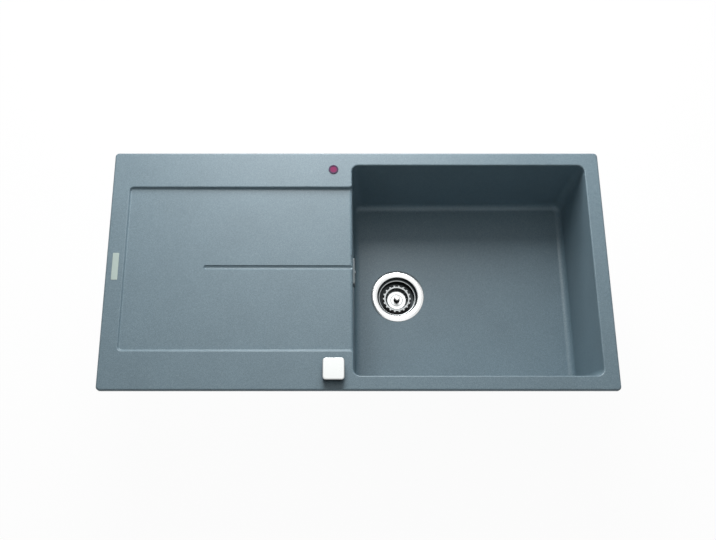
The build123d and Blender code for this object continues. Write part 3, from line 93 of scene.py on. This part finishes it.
def addNode(tree, kind, inputs=None, **settings):
    # inputs go by name, or by number where names repeat, as on Math nodes;
    # on a Mix node 0 is the share, 2 and 3 are the numbers, and 6 and 7 the colours
    node = tree.nodes.new("ShaderNode" + kind)
    for name, value in settings.items():
        setattr(node, name, value)
    for name, value in (inputs or {}).items():
        socket = node.inputs[name]
        if isinstance(value, bpy.types.NodeSocket):
            tree.links.new(value, socket)
        else:
            socket.default_value = value
    return node


def startMaterial(name, **shaderInputs):
    # a new material with its shader's plain values set, and where its patterns lie
    material = bpy.data.materials.new(name)
    material.use_nodes = True
    tree = material.node_tree
    shader = tree.nodes["Principled BSDF"]
    for socket, value in shaderInputs.items():
        shader.inputs[socket.replace("_", " ")].default_value = value
    place = addNode(tree, "TexCoord").outputs["Object"]
    return material, tree, shader, place


# octaves of noise in an even grain, a cloudy one and a pitted one
octaves = {"even": 2.0, "cloudy": 3.0, "pitted": 4.0}


def giveSurface(tree, shader, gloss, roughness, relief, height, strength):
    # one pattern moves the roughness between two values, and one stands up to a height in mm
    spread = addNode(tree, "MapRange", {"Value": gloss, "To Min": roughness[0], "To Max": roughness[1]})
    tree.links.new(spread.outputs["Result"], shader.inputs["Roughness"])
    bump = addNode(tree, "Bump", {"Height": relief, "Distance": height * mm, "Strength": strength})
    tree.links.new(bump.outputs["Normal"], shader.inputs["Normal"])


def varyTone(tree, shader, tone, pattern, share, reach=(0.3, 0.7)):
    # darkens and lightens a tone by a share as the pattern goes from end to end of its reach
    shade = addNode(
        tree,
        "MapRange",
        {
            "Value": pattern,
            "From Min": reach[0],
            "From Max": reach[1],
            "To Min": 1 - share,
            "To Max": 1 + share,
        },
    )
    tint = addNode(tree, "VectorMath", {0: tone, "Scale": shade.outputs["Result"]}, operation="SCALE")
    tree.links.new(tint.outputs[0], shader.inputs["Base Color"])


def fillRamp(ramp, stops):
    # gives a new colour ramp one stop for each place and tone
    first, last = ramp.elements
    for end, (place, tone) in ((first, stops[0]), (last, stops[-1])):
        end.position = place
        end.color = toLinear(tone)
    for place, tone in stops[1:-1]:
        ramp.elements.new(place).color = toLinear(tone)


def facingUp(tree):
    # 1 where a surface looks up, 0 where it is upright, -1 where it looks down
    normal = addNode(tree, "NewGeometry").outputs["Normal"]
    return addNode(tree, "SeparateXYZ", {"Vector": normal}).outputs["Z"]


def distanceFromAxis(tree, place, centre):
    # how far a point is from the upright axis through centre
    centred = addNode(tree, "Mapping", {"Vector": place, "Location": (-centre[0], -centre[1], 0)})
    flat = addNode(tree, "VectorMath", {0: centred.outputs["Vector"], 1: (1, 1, 0)}, operation="MULTIPLY")
    return addNode(tree, "VectorMath", {0: flat.outputs[0]}, operation="LENGTH").outputs["Value"]


def centreOf(node):
    low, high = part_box(node)
    return (low + high) / 2


wasteCentre = centreOf("waste_flange")
knobCentre = centreOf("control_knob")

# what the cast composite is made of: quartz grit in tinted acrylic resin
granite = {
    "ior": 1.5,
    "tone": "#6a7f8a",
    # share of the grit up to each tone
    "gritTones": ((0.05, "#556b75"), (0.45, "#6a7f8a"), (0.97, "#94a7ae")),
    "gritSize": 0.8,  # mm, real grit is 0.1 to 0.6 mm and is drawn coarser so that it shows
    "gritContrast": 0.4,
    "cloudSize": 90.0,  # mm, slow change of tint from the pour
    "cloudShare": 0.04,
    "roughness": (0.38, 0.49),
    "grainSize": 0.7,  # mm
    "grainHeight": 0.04,  # mm
    "bumpStrength": 0.6,
    # the underside comes off a rough mould half
    "underside": (-0.2, -0.7),  # how far a face looks down where it begins, and where it is whole
    "undersideRoughness": 0.75,
    "undersidePits": 3.5,  # mm
    "undersidePitDepth": 0.32,  # mm
}


def makeGraniteComposite():
    # cast quartz composite: satin matt stone, faint grit, and a duller, pitted underside
    material, tree, shader, place = startMaterial("castGraniteComposite", IOR=granite["ior"])
    grit = addNode(tree, "TexVoronoi", {"Vector": place, "Scale": 1 / (granite["gritSize"] * mm)})
    gritValue = addNode(tree, "SeparateColor", {"Color": grit.outputs["Color"]}).outputs["Red"]
    gritRamp = addNode(tree, "ValToRGB", {"Fac": gritValue})
    fillRamp(gritRamp.color_ramp, granite["gritTones"])
    mixed = addNode(
        tree,
        "Mix",
        {0: granite["gritContrast"], 6: toLinear(granite["tone"]), 7: gritRamp.outputs["Color"]},
        data_type="RGBA",
    )
    cloudScale = 1 / (granite["cloudSize"] * mm)
    cloud = addNode(tree, "TexNoise", {"Vector": place, "Scale": cloudScale, "Detail": octaves["cloudy"]})
    varyTone(tree, shader, mixed.outputs[2], cloud.outputs["Fac"], granite["cloudShare"])

    begins, whole = granite["underside"]
    facing = {"Value": facingUp(tree), "From Min": begins, "From Max": whole}
    under = addNode(tree, "MapRange", facing).outputs["Result"]
    smoothest, dullest = granite["roughness"]
    satin = addNode(tree, "MapRange", {"Value": gritValue, "To Min": smoothest, "To Max": dullest})
    rough = addNode(tree, "Mix", {0: under, 2: satin.outputs["Result"], 3: granite["undersideRoughness"]})
    tree.links.new(rough.outputs[0], shader.inputs["Roughness"])

    grainScale = 1 / (granite["grainSize"] * mm)
    pitScale = 1 / (granite["undersidePits"] * mm)
    grain = addNode(tree, "TexNoise", {"Vector": place, "Scale": grainScale, "Detail": octaves["even"]})
    pits = addNode(tree, "TexNoise", {"Vector": place, "Scale": pitScale, "Detail": octaves["pitted"]})
    height = addNode(tree, "Mix", {0: under, 2: grain.outputs["Fac"], 3: pits.outputs["Fac"]})
    depths = {0: under, 2: granite["grainHeight"] * mm, 3: granite["undersidePitDepth"] * mm}
    depth = addNode(tree, "Mix", depths)
    strength = granite["bumpStrength"]
    relief = {"Height": height.outputs[0], "Distance": depth.outputs[0], "Strength": strength}
    tree.links.new(addNode(tree, "Bump", relief).outputs["Normal"], shader.inputs["Normal"])
    return material


# what a lathe or a polishing wheel leaves on metal: real rings are under 0.1 mm apart, and each
# finish gives a ring size in mm that is drawn coarser so that it shows
turning = {"bumpHeight": 0.004, "bumpStrength": 0.5}  # height in mm


def addRings(tree, place, centre, ringSize):
    # faint rings round the upright axis through centre
    radius = distanceFromAxis(tree, place, centre)
    pattern = {"W": radius, "Scale": 1 / (ringSize * mm), "Detail": octaves["even"]}
    return addNode(tree, "TexNoise", pattern, noise_dimensions="1D").outputs["Fac"]


def makeTurnedMetal(name, tone, roughness, ringSize, streak, centre):
    # metal turned or polished on a lathe: bright, with rings that are duller and smoother by turns
    material, tree, shader, place = startMaterial(name, Metallic=1.0, Base_Color=toLinear(tone))
    rings = addRings(tree, place, centre, ringSize)
    limits = (roughness * (1 - streak), roughness * (1 + streak))
    giveSurface(tree, shader, rings, limits, rings, turning["bumpHeight"], turning["bumpStrength"])
    return material


# the waste's stainless steel in bands, each from a depth under the flange's top, in mm
drawnSteel = {
    "span": 40.0,
    "blend": 0.1,
    "ringSize": 0.5,
    "ringShare": 0.04,
    "roughness": (0.45, 0.2),  # dark bands, bright bands
    # the flange is buffed and keeps the steel's bright tone; the dark bands in the cup are painted shade
    # and a painted dark reflection, and the thin bright band at the ledge's inner edge is a painted
    # highlight
    "flangeShadeAndHighlightBands": ((0.0, "#e9eaea"), (1.6, "#3a3e40"), (12.8, "#b9bdbe"), (13.15, "#3a3e40")),
    # rim and teeth, the slotted wall darkened as painted shade, the bead greyer as painted shade, the
    # floor
    "basketShadeBands": ((0.0, "#cfd2d2"), (18.95, "#555a5c"), (29.35, "#a9adae"), (29.9, "#cdd0d0")),
    # the polished head, then the stem and foot under it, dark as painted shade and a painted dark
    # reflection
    "knobShadeBands": ((0.0, "#d9d8d6"), (14.2, "#2c3032")),
}


def makeDrawnSteel(name, bands):
    # drawn stainless steel in depth bands: the steel's bright, smooth tone, and darker, duller bands
    # where shade and dark reflections are painted into the tone
    material, tree, shader, place = startMaterial(name, Metallic=1.0)
    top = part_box("waste_flange")[1].z
    span = drawnSteel["span"]
    level = addNode(tree, "SeparateXYZ", {"Vector": place}).outputs["Z"]
    share = addNode(tree, "MapRange", {"Value": level, "From Min": top, "From Max": top - span * mm})
    shadeBandRamp = addNode(tree, "ValToRGB", {"Fac": share.outputs["Result"]})
    stops = [bands[0]]
    for (_, above), (depth, below) in zip(bands, bands[1:]):
        stops += [((depth - drawnSteel["blend"]) / span, above), (depth / span, below)]
    stops.append((1.0, bands[-1][1]))
    fillRamp(shadeBandRamp.color_ramp, stops)
    # the banded tone, with its painted shade, painted dark reflection and painted highlight
    tone = shadeBandRamp.outputs["Color"]
    rings = addRings(tree, place, wasteCentre, drawnSteel["ringSize"])
    varyTone(tree, shader, tone, rings, drawnSteel["ringShare"], reach=(0.0, 1.0))
    height, strength = turning["bumpHeight"], turning["bumpStrength"]
    giveSurface(tree, shader, tone, drawnSteel["roughness"], rings, height, strength)
    return material


# hair lines of brushed metal, about 0.1 mm wide on the real cap and drawn coarser so that they show
brushing = {
    "lineWidth": 1.0,  # mm
    "lineLength": 50.0,  # mm
    "streak": 0.3,
    "bumpHeight": 0.005,  # mm
    "bumpStrength": 0.4,
    # below the top's tone the sides take the side tone, which is painted shade
    "topFace": (0.05, 0.4),  # how far a face looks up where the top's tone begins, and where it is whole
}


def makeBrushedMetal(name, tone, roughness, along="", shadedSideTone=None):
    # metal brushed along one axis: long hair lines, and where a side tone is given, sides darker than the
    # top as painted shade
    material, tree, shader, place = startMaterial(name, Metallic=1.0, Base_Color=toLinear(tone))
    if shadedSideTone:
        begins, whole = brushing["topFace"]
        facing = {"Value": facingUp(tree), "From Min": begins, "From Max": whole}
        top = addNode(tree, "MapRange", facing).outputs["Result"]
        tones = {0: top, 6: toLinear(shadedSideTone), 7: toLinear(tone)}
        shade = addNode(tree, "Mix", tones, data_type="RGBA")
        tree.links.new(shade.outputs[2], shader.inputs["Base Color"])
    width = brushing["lineWidth"]
    stretch = [width / brushing["lineLength"] if axis == along else 1.0 for axis in "XYZ"]
    drawnOut = addNode(tree, "Mapping", {"Vector": place, "Scale": stretch}).outputs["Vector"]
    pattern = {"Vector": drawnOut, "Scale": 1 / (width * mm), "Detail": octaves["cloudy"]}
    lines = addNode(tree, "TexNoise", pattern).outputs["Fac"]
    limits = (roughness * (1 - brushing["streak"]), roughness * (1 + brushing["streak"]))
    giveSurface(tree, shader, lines, limits, lines, brushing["bumpHeight"], brushing["bumpStrength"])
    return material


zincPlating = {
    "tone": "#c0c4c6",
    "darkTone": "#8d9396",
    "spangleSize": 2.2,  # mm
    "cloudSize": 6.0,  # mm
    "roughness": (0.3, 0.46),
    "bumpHeight": 0.01,  # mm
    "bumpStrength": 0.4,
}


def makeZincPlate():
    # bright zinc plating on rolled steel: a cloudy, slightly spangled grey
    material, tree, shader, place = startMaterial("zincPlatedSteel", Metallic=1.0)
    spangleScale = 1 / (zincPlating["spangleSize"] * mm)
    spangle = addNode(tree, "TexVoronoi", {"Vector": place, "Scale": spangleScale})
    cell = addNode(tree, "SeparateColor", {"Color": spangle.outputs["Color"]}).outputs["Red"]
    pattern = {"Vector": place, "Scale": 1 / (zincPlating["cloudSize"] * mm), "Detail": octaves["cloudy"]}
    cloud = addNode(tree, "TexNoise", pattern).outputs["Fac"]
    share = addNode(tree, "Math", {0: cell, 1: cloud}, operation="MULTIPLY").outputs[0]
    tones = {0: share, 6: toLinear(zincPlating["tone"]), 7: toLinear(zincPlating["darkTone"])}
    shade = addNode(tree, "Mix", tones, data_type="RGBA")
    tree.links.new(shade.outputs[2], shader.inputs["Base Color"])
    height, strength = zincPlating["bumpHeight"], zincPlating["bumpStrength"]
    giveSurface(tree, shader, cell, zincPlating["roughness"], cloud, height, strength)
    return material


# the grain of moulded parts is about 0.1 mm, and each finish draws it 0.5 to 0.8 mm so that it shows
moulding = {
    "ior": 1.49,
    "mottleSize": 25.0,  # mm
    "mottleShare": 0.03,
    "roughnessSpread": 0.06,
    "bumpStrength": 0.5,
    "glowDepth": 2.0,  # mm that light goes into milky plastic
}


def makeMoulded(name, tone, roughness, grainSize, grainHeight, milky=0.0):
    # moulded plastic or rubber: even tint with a faint spark-eroded grain, sizes in mm
    material, tree, shader, place = startMaterial(
        name, IOR=moulding["ior"], Subsurface_Weight=milky, Subsurface_Scale=moulding["glowDepth"] * mm
    )
    slowScale = 1 / (moulding["mottleSize"] * mm)
    slow = addNode(tree, "TexNoise", {"Vector": place, "Scale": slowScale, "Detail": octaves["even"]})
    varyTone(tree, shader, toLinear(tone)[:3], slow.outputs["Fac"], moulding["mottleShare"])
    pattern = {"Vector": place, "Scale": 1 / (grainSize * mm), "Detail": octaves["even"]}
    grain = addNode(tree, "TexNoise", pattern).outputs["Fac"]
    limits = (roughness - moulding["roughnessSpread"], roughness + moulding["roughnessSpread"])
    giveSurface(tree, shader, grain, limits, grain, grainHeight, moulding["bumpStrength"])
    return material


# the round marker stuck over the tap hole: a deep pink middle in a plum ring
marker = {
    "ior": 1.5,
    "specular": 0.3,
    "middleTone": "#7d1650",
    "ringTone": "#46284a",
    "ringInside": 6.5,  # mm
    "ringBlur": 0.2,  # mm
    "dotSize": 0.8,  # mm, print dots of about 0.2 mm drawn coarser
    "roughness": (0.55, 0.68),
    "bumpHeight": 0.005,  # mm
    "bumpStrength": 0.4,
}


def makeMarkerFilm():
    # polyester film under a satin face: a flat deep pink middle, darker plum in a ring outside it
    material, tree, shader, place = startMaterial(
        "polyesterFilm", IOR=marker["ior"], Specular_IOR_Level=marker["specular"]
    )
    edge = {
        "Value": distanceFromAxis(tree, place, centreOf("tap_hole_marker")),
        "From Min": (marker["ringInside"] - marker["ringBlur"]) * mm,
        "From Max": (marker["ringInside"] + marker["ringBlur"]) * mm,
    }
    ring = addNode(tree, "MapRange", edge).outputs["Result"]
    tones = {0: ring, 6: toLinear(marker["middleTone"]), 7: toLinear(marker["ringTone"])}
    markerTone = addNode(tree, "Mix", tones, data_type="RGBA")
    tree.links.new(markerTone.outputs[2], shader.inputs["Base Color"])
    pattern = {"Vector": place, "Scale": 1 / (marker["dotSize"] * mm), "Detail": octaves["even"]}
    dots = addNode(tree, "TexNoise", pattern).outputs["Fac"]
    height, strength = marker["bumpHeight"], marker["bumpStrength"]
    giveSurface(tree, shader, dots, marker["roughness"], dots, height, strength)
    return material


finishes = {
    # cast quartz and acrylic: dull stone with a fine grit
    "granite_composite": makeGraniteComposite(),
    # polycarbonate insert, pale and satin
    "pale_plastic": makeMoulded(
        "satinPolycarbonate", "#b6c6c0", roughness=0.42, grainSize=0.6, grainHeight=0.01
    ),
    # polyester film, deep pink in a darker plum ring
    "magenta_film": makeMarkerFilm(),
    # EPDM and nitrile rubber: soft dull black
    "black_rubber": makeMoulded(
        "epdmRubber", "#1d1e20", roughness=0.7, grainSize=0.5, grainHeight=0.03
    ),
    # glass-filled nylon: charcoal with a dull grain
    "grey_plastic": makeMoulded(
        "glassFilledNylon", "#4a4e52", roughness=0.5, grainSize=0.5, grainHeight=0.02
    ),
    # polypropylene drain fittings: milky white with a waxy sheen
    "white_plastic": makeMoulded(
        "polypropyleneMoulding", "#dfe0dd", roughness=0.38, grainSize=0.7, grainHeight=0.015, milky=0.1
    ),
    # polypropylene blown into a corrugated hose: milky, a little duller
    "white_hose": makeMoulded(
        "corrugatedPolypropylene", "#d4d6d2", roughness=0.42, grainSize=0.5, grainHeight=0.01, milky=0.1
    ),
    # PVC cable jacket, extruded: smooth satin black
    "black_plastic": makeMoulded(
        "extrudedPvc", "#24262a", roughness=0.42, grainSize=0.8, grainHeight=0.01
    ),
    # zinc-plated steel, rolled: cloudy grey
    "galvanised_steel": makeZincPlate(),
    # 18/10 stainless steel, buffed to a mirror
    "polished_steel": makeTurnedMetal(
        "buffedStainlessSteel", "#dfe1e2", roughness=0.16, ringSize=0.5, streak=0.4, centre=wasteCentre
    ),
    # stainless steel cap with a fine brushed top, its sides darker as painted shade and a painted dark
    # reflection
    "brushed_steel": makeBrushedMetal(
        "brushedStainlessSteel", "#c6c8c7", roughness=0.3, along="X", shadedSideTone="#4a5053"
    ),
    # free-cutting brass, turned: yellow with fine tool rings
    "brass": makeTurnedMetal(
        "turnedBrass", "#c2a05c", roughness=0.3, ringSize=0.4, streak=0.3, centre=wasteCentre
    ),
    # brass under bright chrome
    "chromed_brass": makeTurnedMetal(
        "chromedBrass", "#d5d8da", roughness=0.14, ringSize=0.6, streak=0.3, centre=knobCentre
    ),
}
# nodes whose finish differs from the rest of their slot
nodeFinishes = {
    # the banded steels below carry painted shade, a painted dark reflection and a painted highlight in
    # their tones
    "waste_flange": makeDrawnSteel("drawnFlangeSteel", drawnSteel["flangeShadeAndHighlightBands"]),
    "basket_strainer": makeDrawnSteel("drawnBasketSteel", drawnSteel["basketShadeBands"]),
    "basket_knob": makeDrawnSteel("turnedKnobSteel", drawnSteel["knobShadeBands"]),
    # the cover is a duller, darker sheet than the knob's cap
    "overflow_cover": makeBrushedMetal("satinStainlessSheet", "#62696c", roughness=0.5, along="Y"),
    "overflow_screw": makeBrushedMetal("satinScrewSteel", "#6d7376", roughness=0.4),
}
slotOf = {part["node"]: part["material_slot"] for part in frame["record"]["subparts"]}
for name, node in frame["nodes"].items():
    node.data.materials.clear()
    node.data.materials.append(nodeFinishes.get(name, finishes[slotOf[name]]))
print("finishes made:", len(finishes) + len(nodeFinishes))

creaseAngle = radians(35)
quarterTurn = Matrix.Rotation(pi / 2, 4, "Y")


def finishPiece(name, bm, slot, body, replaced=()):
    # a smooth mesh with its creases kept, in its slot's finish, riding on its body
    mesh = bpy.data.meshes.new(name)
    bm.to_mesh(mesh)
    bm.free()
    mesh.shade_smooth()
    mesh.set_sharp_from_angle(angle=creaseAngle)
    mesh.materials.append(finishes[slot])
    piece = bpy.data.objects.new(name, mesh)
    bpy.context.scene.collection.objects.link(piece)
    if replaced:
        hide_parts(*replaced)
    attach(piece, body)
    return piece


# the overflow's corrugated hose, from the elbow's collar round one bend to the waste body
hose = {
    "root": 12.2 * mm,
    "crest": 14.2 * mm,
    "wall": 1.5 * mm,
    "bend": 50.0 * mm,
    "cuff": 24.0 * mm,
    "ribPitch": 7.0 * mm,
    "sides": 48,
    # a rib's flank going up: share of the pitch, share of the rib's height
    "ribFlank": ((0.08, 0.0), (0.17, 0.3), (0.25, 0.8), (0.34, 1.0)),
    "ribMiddle": 0.45,  # share of the pitch
}


def makeOverflowHose():
    low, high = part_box("overflow_hose")
    startX = low.x + hose["crest"]
    endZ = low.z + hose["crest"]
    drop = high.z - endZ - hose["bend"]
    bendLength = hose["bend"] * pi / 2
    total = drop + bendLength + high.x - startX - hose["bend"]

    def frameAt(distance, radius):
        # places a unit circle square to the hose's line at one distance from its top
        turn = min(max(distance - drop, 0.0), bendLength) / hose["bend"]
        down = min(distance, drop)
        along = max(distance - drop - bendLength, 0.0)
        arc = Matrix.Rotation(-turn, 4, "Y")
        pivot = Vector((startX + hose["bend"], 0, high.z - down))
        spoke = arc @ Vector((-hose["bend"], 0, 0))
        place = Matrix.Translation(pivot + spoke + Vector((along, 0, 0)))
        return place @ arc @ Matrix.Diagonal((radius, radius, 1, 1))

    ribCount = int((total - 2 * hose["cuff"]) / hose["ribPitch"])
    pitch = (total - 2 * hose["cuff"]) / ribCount
    farFlank = [(2 * hose["ribMiddle"] - share, height) for share, height in reversed(hose["ribFlank"])]
    stations = [(0.0, hose["root"]), (hose["cuff"], hose["root"])]
    for rib in range(ribCount):
        for share, height in (*hose["ribFlank"], *farFlank):
            radius = hose["root"] + height * (hose["crest"] - hose["root"])
            stations.append((hose["cuff"] + (rib + share) * pitch, radius))
    stations.append((total, hose["root"]))

    bm = bmesh.new()
    ring = bmesh.ops.create_circle(bm, segments=hose["sides"], radius=1.0, cap_ends=False)["verts"]
    ringEdges = bm.edges[:]
    current = frameAt(*stations[0])
    bmesh.ops.transform(bm, matrix=current, verts=ring)
    for distance, radius in stations[1:]:
        made = bmesh.ops.extrude_edge_only(bm, edges=ringEdges)["geom"]
        ring = [item for item in made if isinstance(item, bmesh.types.BMVert)]
        ringEdges = [item for item in made if isinstance(item, bmesh.types.BMEdge)]
        following = frameAt(distance, radius)
        bmesh.ops.transform(bm, matrix=following @ current.inverted(), verts=ring)
        current = following
    bmesh.ops.recalc_face_normals(bm, faces=bm.faces)
    piece = finishPiece("ribbedOverflowHose", bm, "white_hose", "sink", ["overflow_hose"])
    wall = piece.modifiers.new("hoseWall", "SOLIDIFY")
    wall.thickness = hose["wall"]
    wall.offset = -1.0


# the control cable's sheath, clipped between the drum housing and the waste body's bracket
cable = {
    "sheathRadius": 2.5 * mm,
    "roundSteps": 6,
    "lengthSteps": 16,
    "route": [
        (-0.05475, -0.1955, -0.0245),
        (-0.05475, -0.1415, -0.0245),
        (-0.052, -0.101, -0.066),
        (-0.047, -0.083, -0.124),
        (-0.040, -0.073, -0.184),
        (-0.022, -0.065, -0.236),
        (0.010, -0.060, -0.27385),
        (0.043, -0.060, -0.27385),
    ],
}


def makeCableSheath():
    curve = bpy.data.curves.new("pvcCableSheath", "CURVE")
    curve.dimensions = "3D"
    curve.bevel_depth = cable["sheathRadius"]
    curve.bevel_resolution = cable["roundSteps"]
    curve.resolution_u = cable["lengthSteps"]
    curve.use_fill_caps = True
    spline = curve.splines.new("NURBS")
    spline.points.add(len(cable["route"]) - 1)
    for point, place in zip(spline.points, cable["route"]):
        point.co = (*place, 1.0)
    # set after the points are added, because set before they leave it at straight runs
    spline.order_u = 3
    spline.use_endpoint_u = True
    curve.materials.append(finishes["black_plastic"])
    piece = bpy.data.objects.new("pvcCableSheath", curve)
    bpy.context.scene.collection.objects.link(piece)
    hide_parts("cable_sheath")
    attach(piece, "sink")


# a thread's ridge: 0 at its root or 1 at its tip, share of the pitch
ridgeOutline = ((0, 0.0), (1, 0.3), (1, 0.45), (0, 0.75))

# the outlet's pipe thread, 11 turns to the inch, and the cable adjuster's fine metric one
outletThread = {
    "radius": 23.9 * mm,
    "sink": 0.3 * mm,
    "height": 0.5 * mm,
    "pitch": 2.31 * mm,
    "turns": 9.4,
    "stepsPerTurn": 48,
    "startsAfter": 1.0 * mm,
}
adjusterThread = {
    "radius": 3.0 * mm,
    "sink": 0.2 * mm,
    "height": 0.22 * mm,
    "pitch": 1.0 * mm,
    "turns": 7.6,
    "stepsPerTurn": 24,
    "startsAfter": 0.3 * mm,
}


def makeThread(name, slot, body, start, turned, thread):
    # one ridge spun up its axis as a helix, then laid at its start along the turned axis
    steps = int(thread["turns"] * thread["stepsPerTurn"])
    reach = (thread["radius"] - thread["sink"], thread["radius"] + thread["height"])
    bm = bmesh.new()
    corners = [bm.verts.new((reach[end], 0, share * thread["pitch"])) for end, share in ridgeOutline]
    sides = [bm.edges.new((a, b)) for a, b in zip(corners, corners[1:] + corners[:1])]
    bmesh.ops.spin(
        bm,
        geom=corners + sides,
        cent=(0, 0, 0),
        axis=(0, 0, 1),
        dvec=(0, 0, thread["turns"] * thread["pitch"] / steps),
        angle=2 * pi * thread["turns"],
        steps=steps,
    )
    bmesh.ops.holes_fill(bm, edges=bm.edges, sides=len(sides))
    bmesh.ops.recalc_face_normals(bm, faces=bm.faces)
    bmesh.ops.transform(bm, matrix=Matrix.Translation(start) @ turned, verts=bm.verts)
    finishPiece(name, bm, slot, body)


def makeThreads():
    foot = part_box("waste_body")[0].z
    outletStart = Vector((wasteCentre.x, 0, foot + outletThread["startsAfter"]))
    makeThread("outletPipeThread", "white_plastic", "sink", outletStart, Matrix.Identity(4), outletThread)
    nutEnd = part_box("adjuster_nuts")[1].x
    middle = centreOf("cable_adjuster")
    adjusterStart = Vector((nutEnd + adjusterThread["startsAfter"], middle.y, middle.z))
    makeThread("adjusterFineThread", "chromed_brass", "sink", adjusterStart, quarterTurn, adjusterThread)


# worm screws and band teeth of the two hose clamps
hoseClamp = {
    "wormRadius": 2.7 * mm,
    "wormLength": 12.0 * mm,
    "wormSides": 20,
    "headRadius": 3.4 * mm,
    "headLength": 3.0 * mm,
    "headSides": 6,
    "bevel": 0.4 * mm,
    "lugReach": 3.5 * mm,
    "lugSpan": 70.0,  # degrees of the band that the lug covers
    "bandThickness": 0.9 * mm,
    "teeth": 30,
    "toothSize": (0.7 * mm, 0.5 * mm, 5.0 * mm),
    "toothTilt": 12.0,
}


def bevelRims(bm, made, width):
    # rounds the rims of a new cylinder
    edges = list({edge for vert in made["verts"] for edge in vert.link_edges})
    bmesh.ops.bevel(
        bm, geom=edges, offset=width, affect="EDGES", segments=2, profile=0.5, material=-1
    )


def makeClampFittings(name, centre, turned):
    # built round an upright hose at the origin, its lug towards +Y, then laid where the clamp is
    bm = bmesh.new()
    lugY = hose["root"] + hoseClamp["lugReach"]
    headX = (hoseClamp["wormLength"] + hoseClamp["headLength"]) / 2
    worm = (hoseClamp["wormRadius"], hoseClamp["wormLength"], 0.0, hoseClamp["wormSides"])
    head = (hoseClamp["headRadius"], hoseClamp["headLength"], headX, hoseClamp["headSides"])
    for radius, length, shift, sides in (worm, head):
        made = bmesh.ops.create_cone(
            bm,
            cap_ends=True,
            segments=sides,
            radius1=radius,
            radius2=radius,
            depth=length,
            matrix=Matrix.Translation((shift, lugY, 0)) @ quarterTurn,
        )
        bevelRims(bm, made, hoseClamp["bevel"])
    outwards = Matrix.Translation((0, hose["root"] + hoseClamp["bandThickness"], 0))
    tilt = Matrix.Rotation(radians(hoseClamp["toothTilt"]), 4, "Y")
    size = Matrix.Diagonal((*hoseClamp["toothSize"], 1))
    step = radians(360 - hoseClamp["lugSpan"]) / (hoseClamp["teeth"] - 1)
    for tooth in range(hoseClamp["teeth"]):
        turn = Matrix.Rotation(radians(hoseClamp["lugSpan"] / 2) + tooth * step, 4, "Z")
        bmesh.ops.create_cube(bm, size=1.0, matrix=turn @ outwards @ tilt @ size)
    bmesh.ops.transform(bm, matrix=Matrix.Translation(centre) @ turned, verts=bm.verts)
    finishPiece(name, bm, "galvanised_steel", "sink")


def makeHoseClampFittings():
    low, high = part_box("overflow_hose")
    upper = Vector((low.x + hose["crest"], 0, high.z - hose["cuff"] / 2))
    lower = Vector((high.x - hose["cuff"] / 2, 0, low.z + hose["crest"]))
    makeClampFittings("upperClampWorm", upper, Matrix.Identity(4))
    makeClampFittings("lowerClampWorm", lower, quarterTurn)


makeOverflowHose()
makeCableSheath()
makeThreads()
makeHoseClampFittings()
print("hose, cable, threads and clamp fittings made")

studio = {
    "floorSize": 12.0,
    "floorDrop": 0.5 * mm,
    "floorTone": "#f4f5f5",
    "floorRoughness": 0.8,
    "floorGlow": 0.96,  # share of the floor seen by the camera that is plain white
    "worldTone": "#fafbfb",
    "worldStrength": 0.1,  # what the world sheds on the object, and the camera sees it at 1
    "aim": (0, 0.05, 0),
    # name: place, width and height, power
    "lights": {
        "lowBackLight": ((0.04, 1.35, 0.5), (1.2, 0.4), 17.0),
        "highBackLight": ((-0.12, 1.35, 1.35), (1.0, 1.0), 31.0),
        "overheadLight": ((0.0, 0.6, 2.2), (0.8, 0.8), 2.4),
        "frontFill": ((0.0, -1.2, 2.6), (2.4, 2.4), 4.4),
    },
}


def addSeenRays(tree):
    # 1 for what the camera, a mirror or glass sees, 0 for light that falls on a surface
    path = addNode(tree, "LightPath").outputs
    mirrors = {0: path["Is Glossy Ray"], 1: path["Is Transmission Ray"]}
    mirrored = addNode(tree, "Math", mirrors, operation="ADD").outputs[0]
    everySeen = {0: path["Is Camera Ray"], 1: mirrored}
    return addNode(tree, "Math", everySeen, operation="ADD", use_clamp=True).outputs[0]


def makeStudioFloor():
    floorMesh = bpy.data.meshes.new("studioFloor")
    bm = bmesh.new()
    bmesh.ops.create_grid(bm, x_segments=1, y_segments=1, size=studio["floorSize"] / 2)
    bmesh.ops.translate(bm, verts=bm.verts, vec=(0, 0, cadBox[0].z - studio["floorDrop"]))
    bm.to_mesh(floorMesh)
    bm.free()
    floor = bpy.data.objects.new("studioFloor", floorMesh)
    bpy.context.scene.collection.objects.link(floor)
    # painted board: pale and dull, brightened to white for the camera and for reflections
    material, tree, shader = startMaterial(
        "paintedBoard", Roughness=studio["floorRoughness"], Base_Color=toLinear(studio["floorTone"])
    )[:3]
    share = addNode(tree, "Math", {0: addSeenRays(tree), 1: studio["floorGlow"]}, operation="MULTIPLY")
    glow = addNode(tree, "Emission", {"Strength": 1.0})
    blend = addNode(tree, "MixShader", {0: share.outputs[0], 1: shader.outputs[0], 2: glow.outputs[0]})
    tree.links.new(blend.outputs[0], tree.nodes["Material Output"].inputs["Surface"])
    floorMesh.materials.append(material)


def makeWorld():
    world = bpy.data.worlds.new("studioWorld")
    bpy.context.scene.world = world
    world.use_nodes = True
    tree = world.node_tree
    background = tree.nodes["Background"]
    background.inputs["Color"].default_value = toLinear(studio["worldTone"])
    seen = {"Value": addSeenRays(tree), "To Min": studio["worldStrength"], "To Max": 1.0}
    strength = addNode(tree, "MapRange", seen)
    tree.links.new(strength.outputs["Result"], background.inputs["Strength"])


def addLights():
    for name, (place, size, power) in studio["lights"].items():
        data = bpy.data.lights.new(name, "AREA")
        data.shape = "RECTANGLE"
        data.size, data.size_y = size
        data.energy = power
        light = bpy.data.objects.new(name, data)
        light.location = place
        towards = Vector(studio["aim"]) - Vector(place)
        light.rotation_euler = towards.to_track_quat("-Z", "Y").to_euler()
        bpy.context.scene.collection.objects.link(light)


makeStudioFloor()
makeWorld()
addLights()
print("studio made")
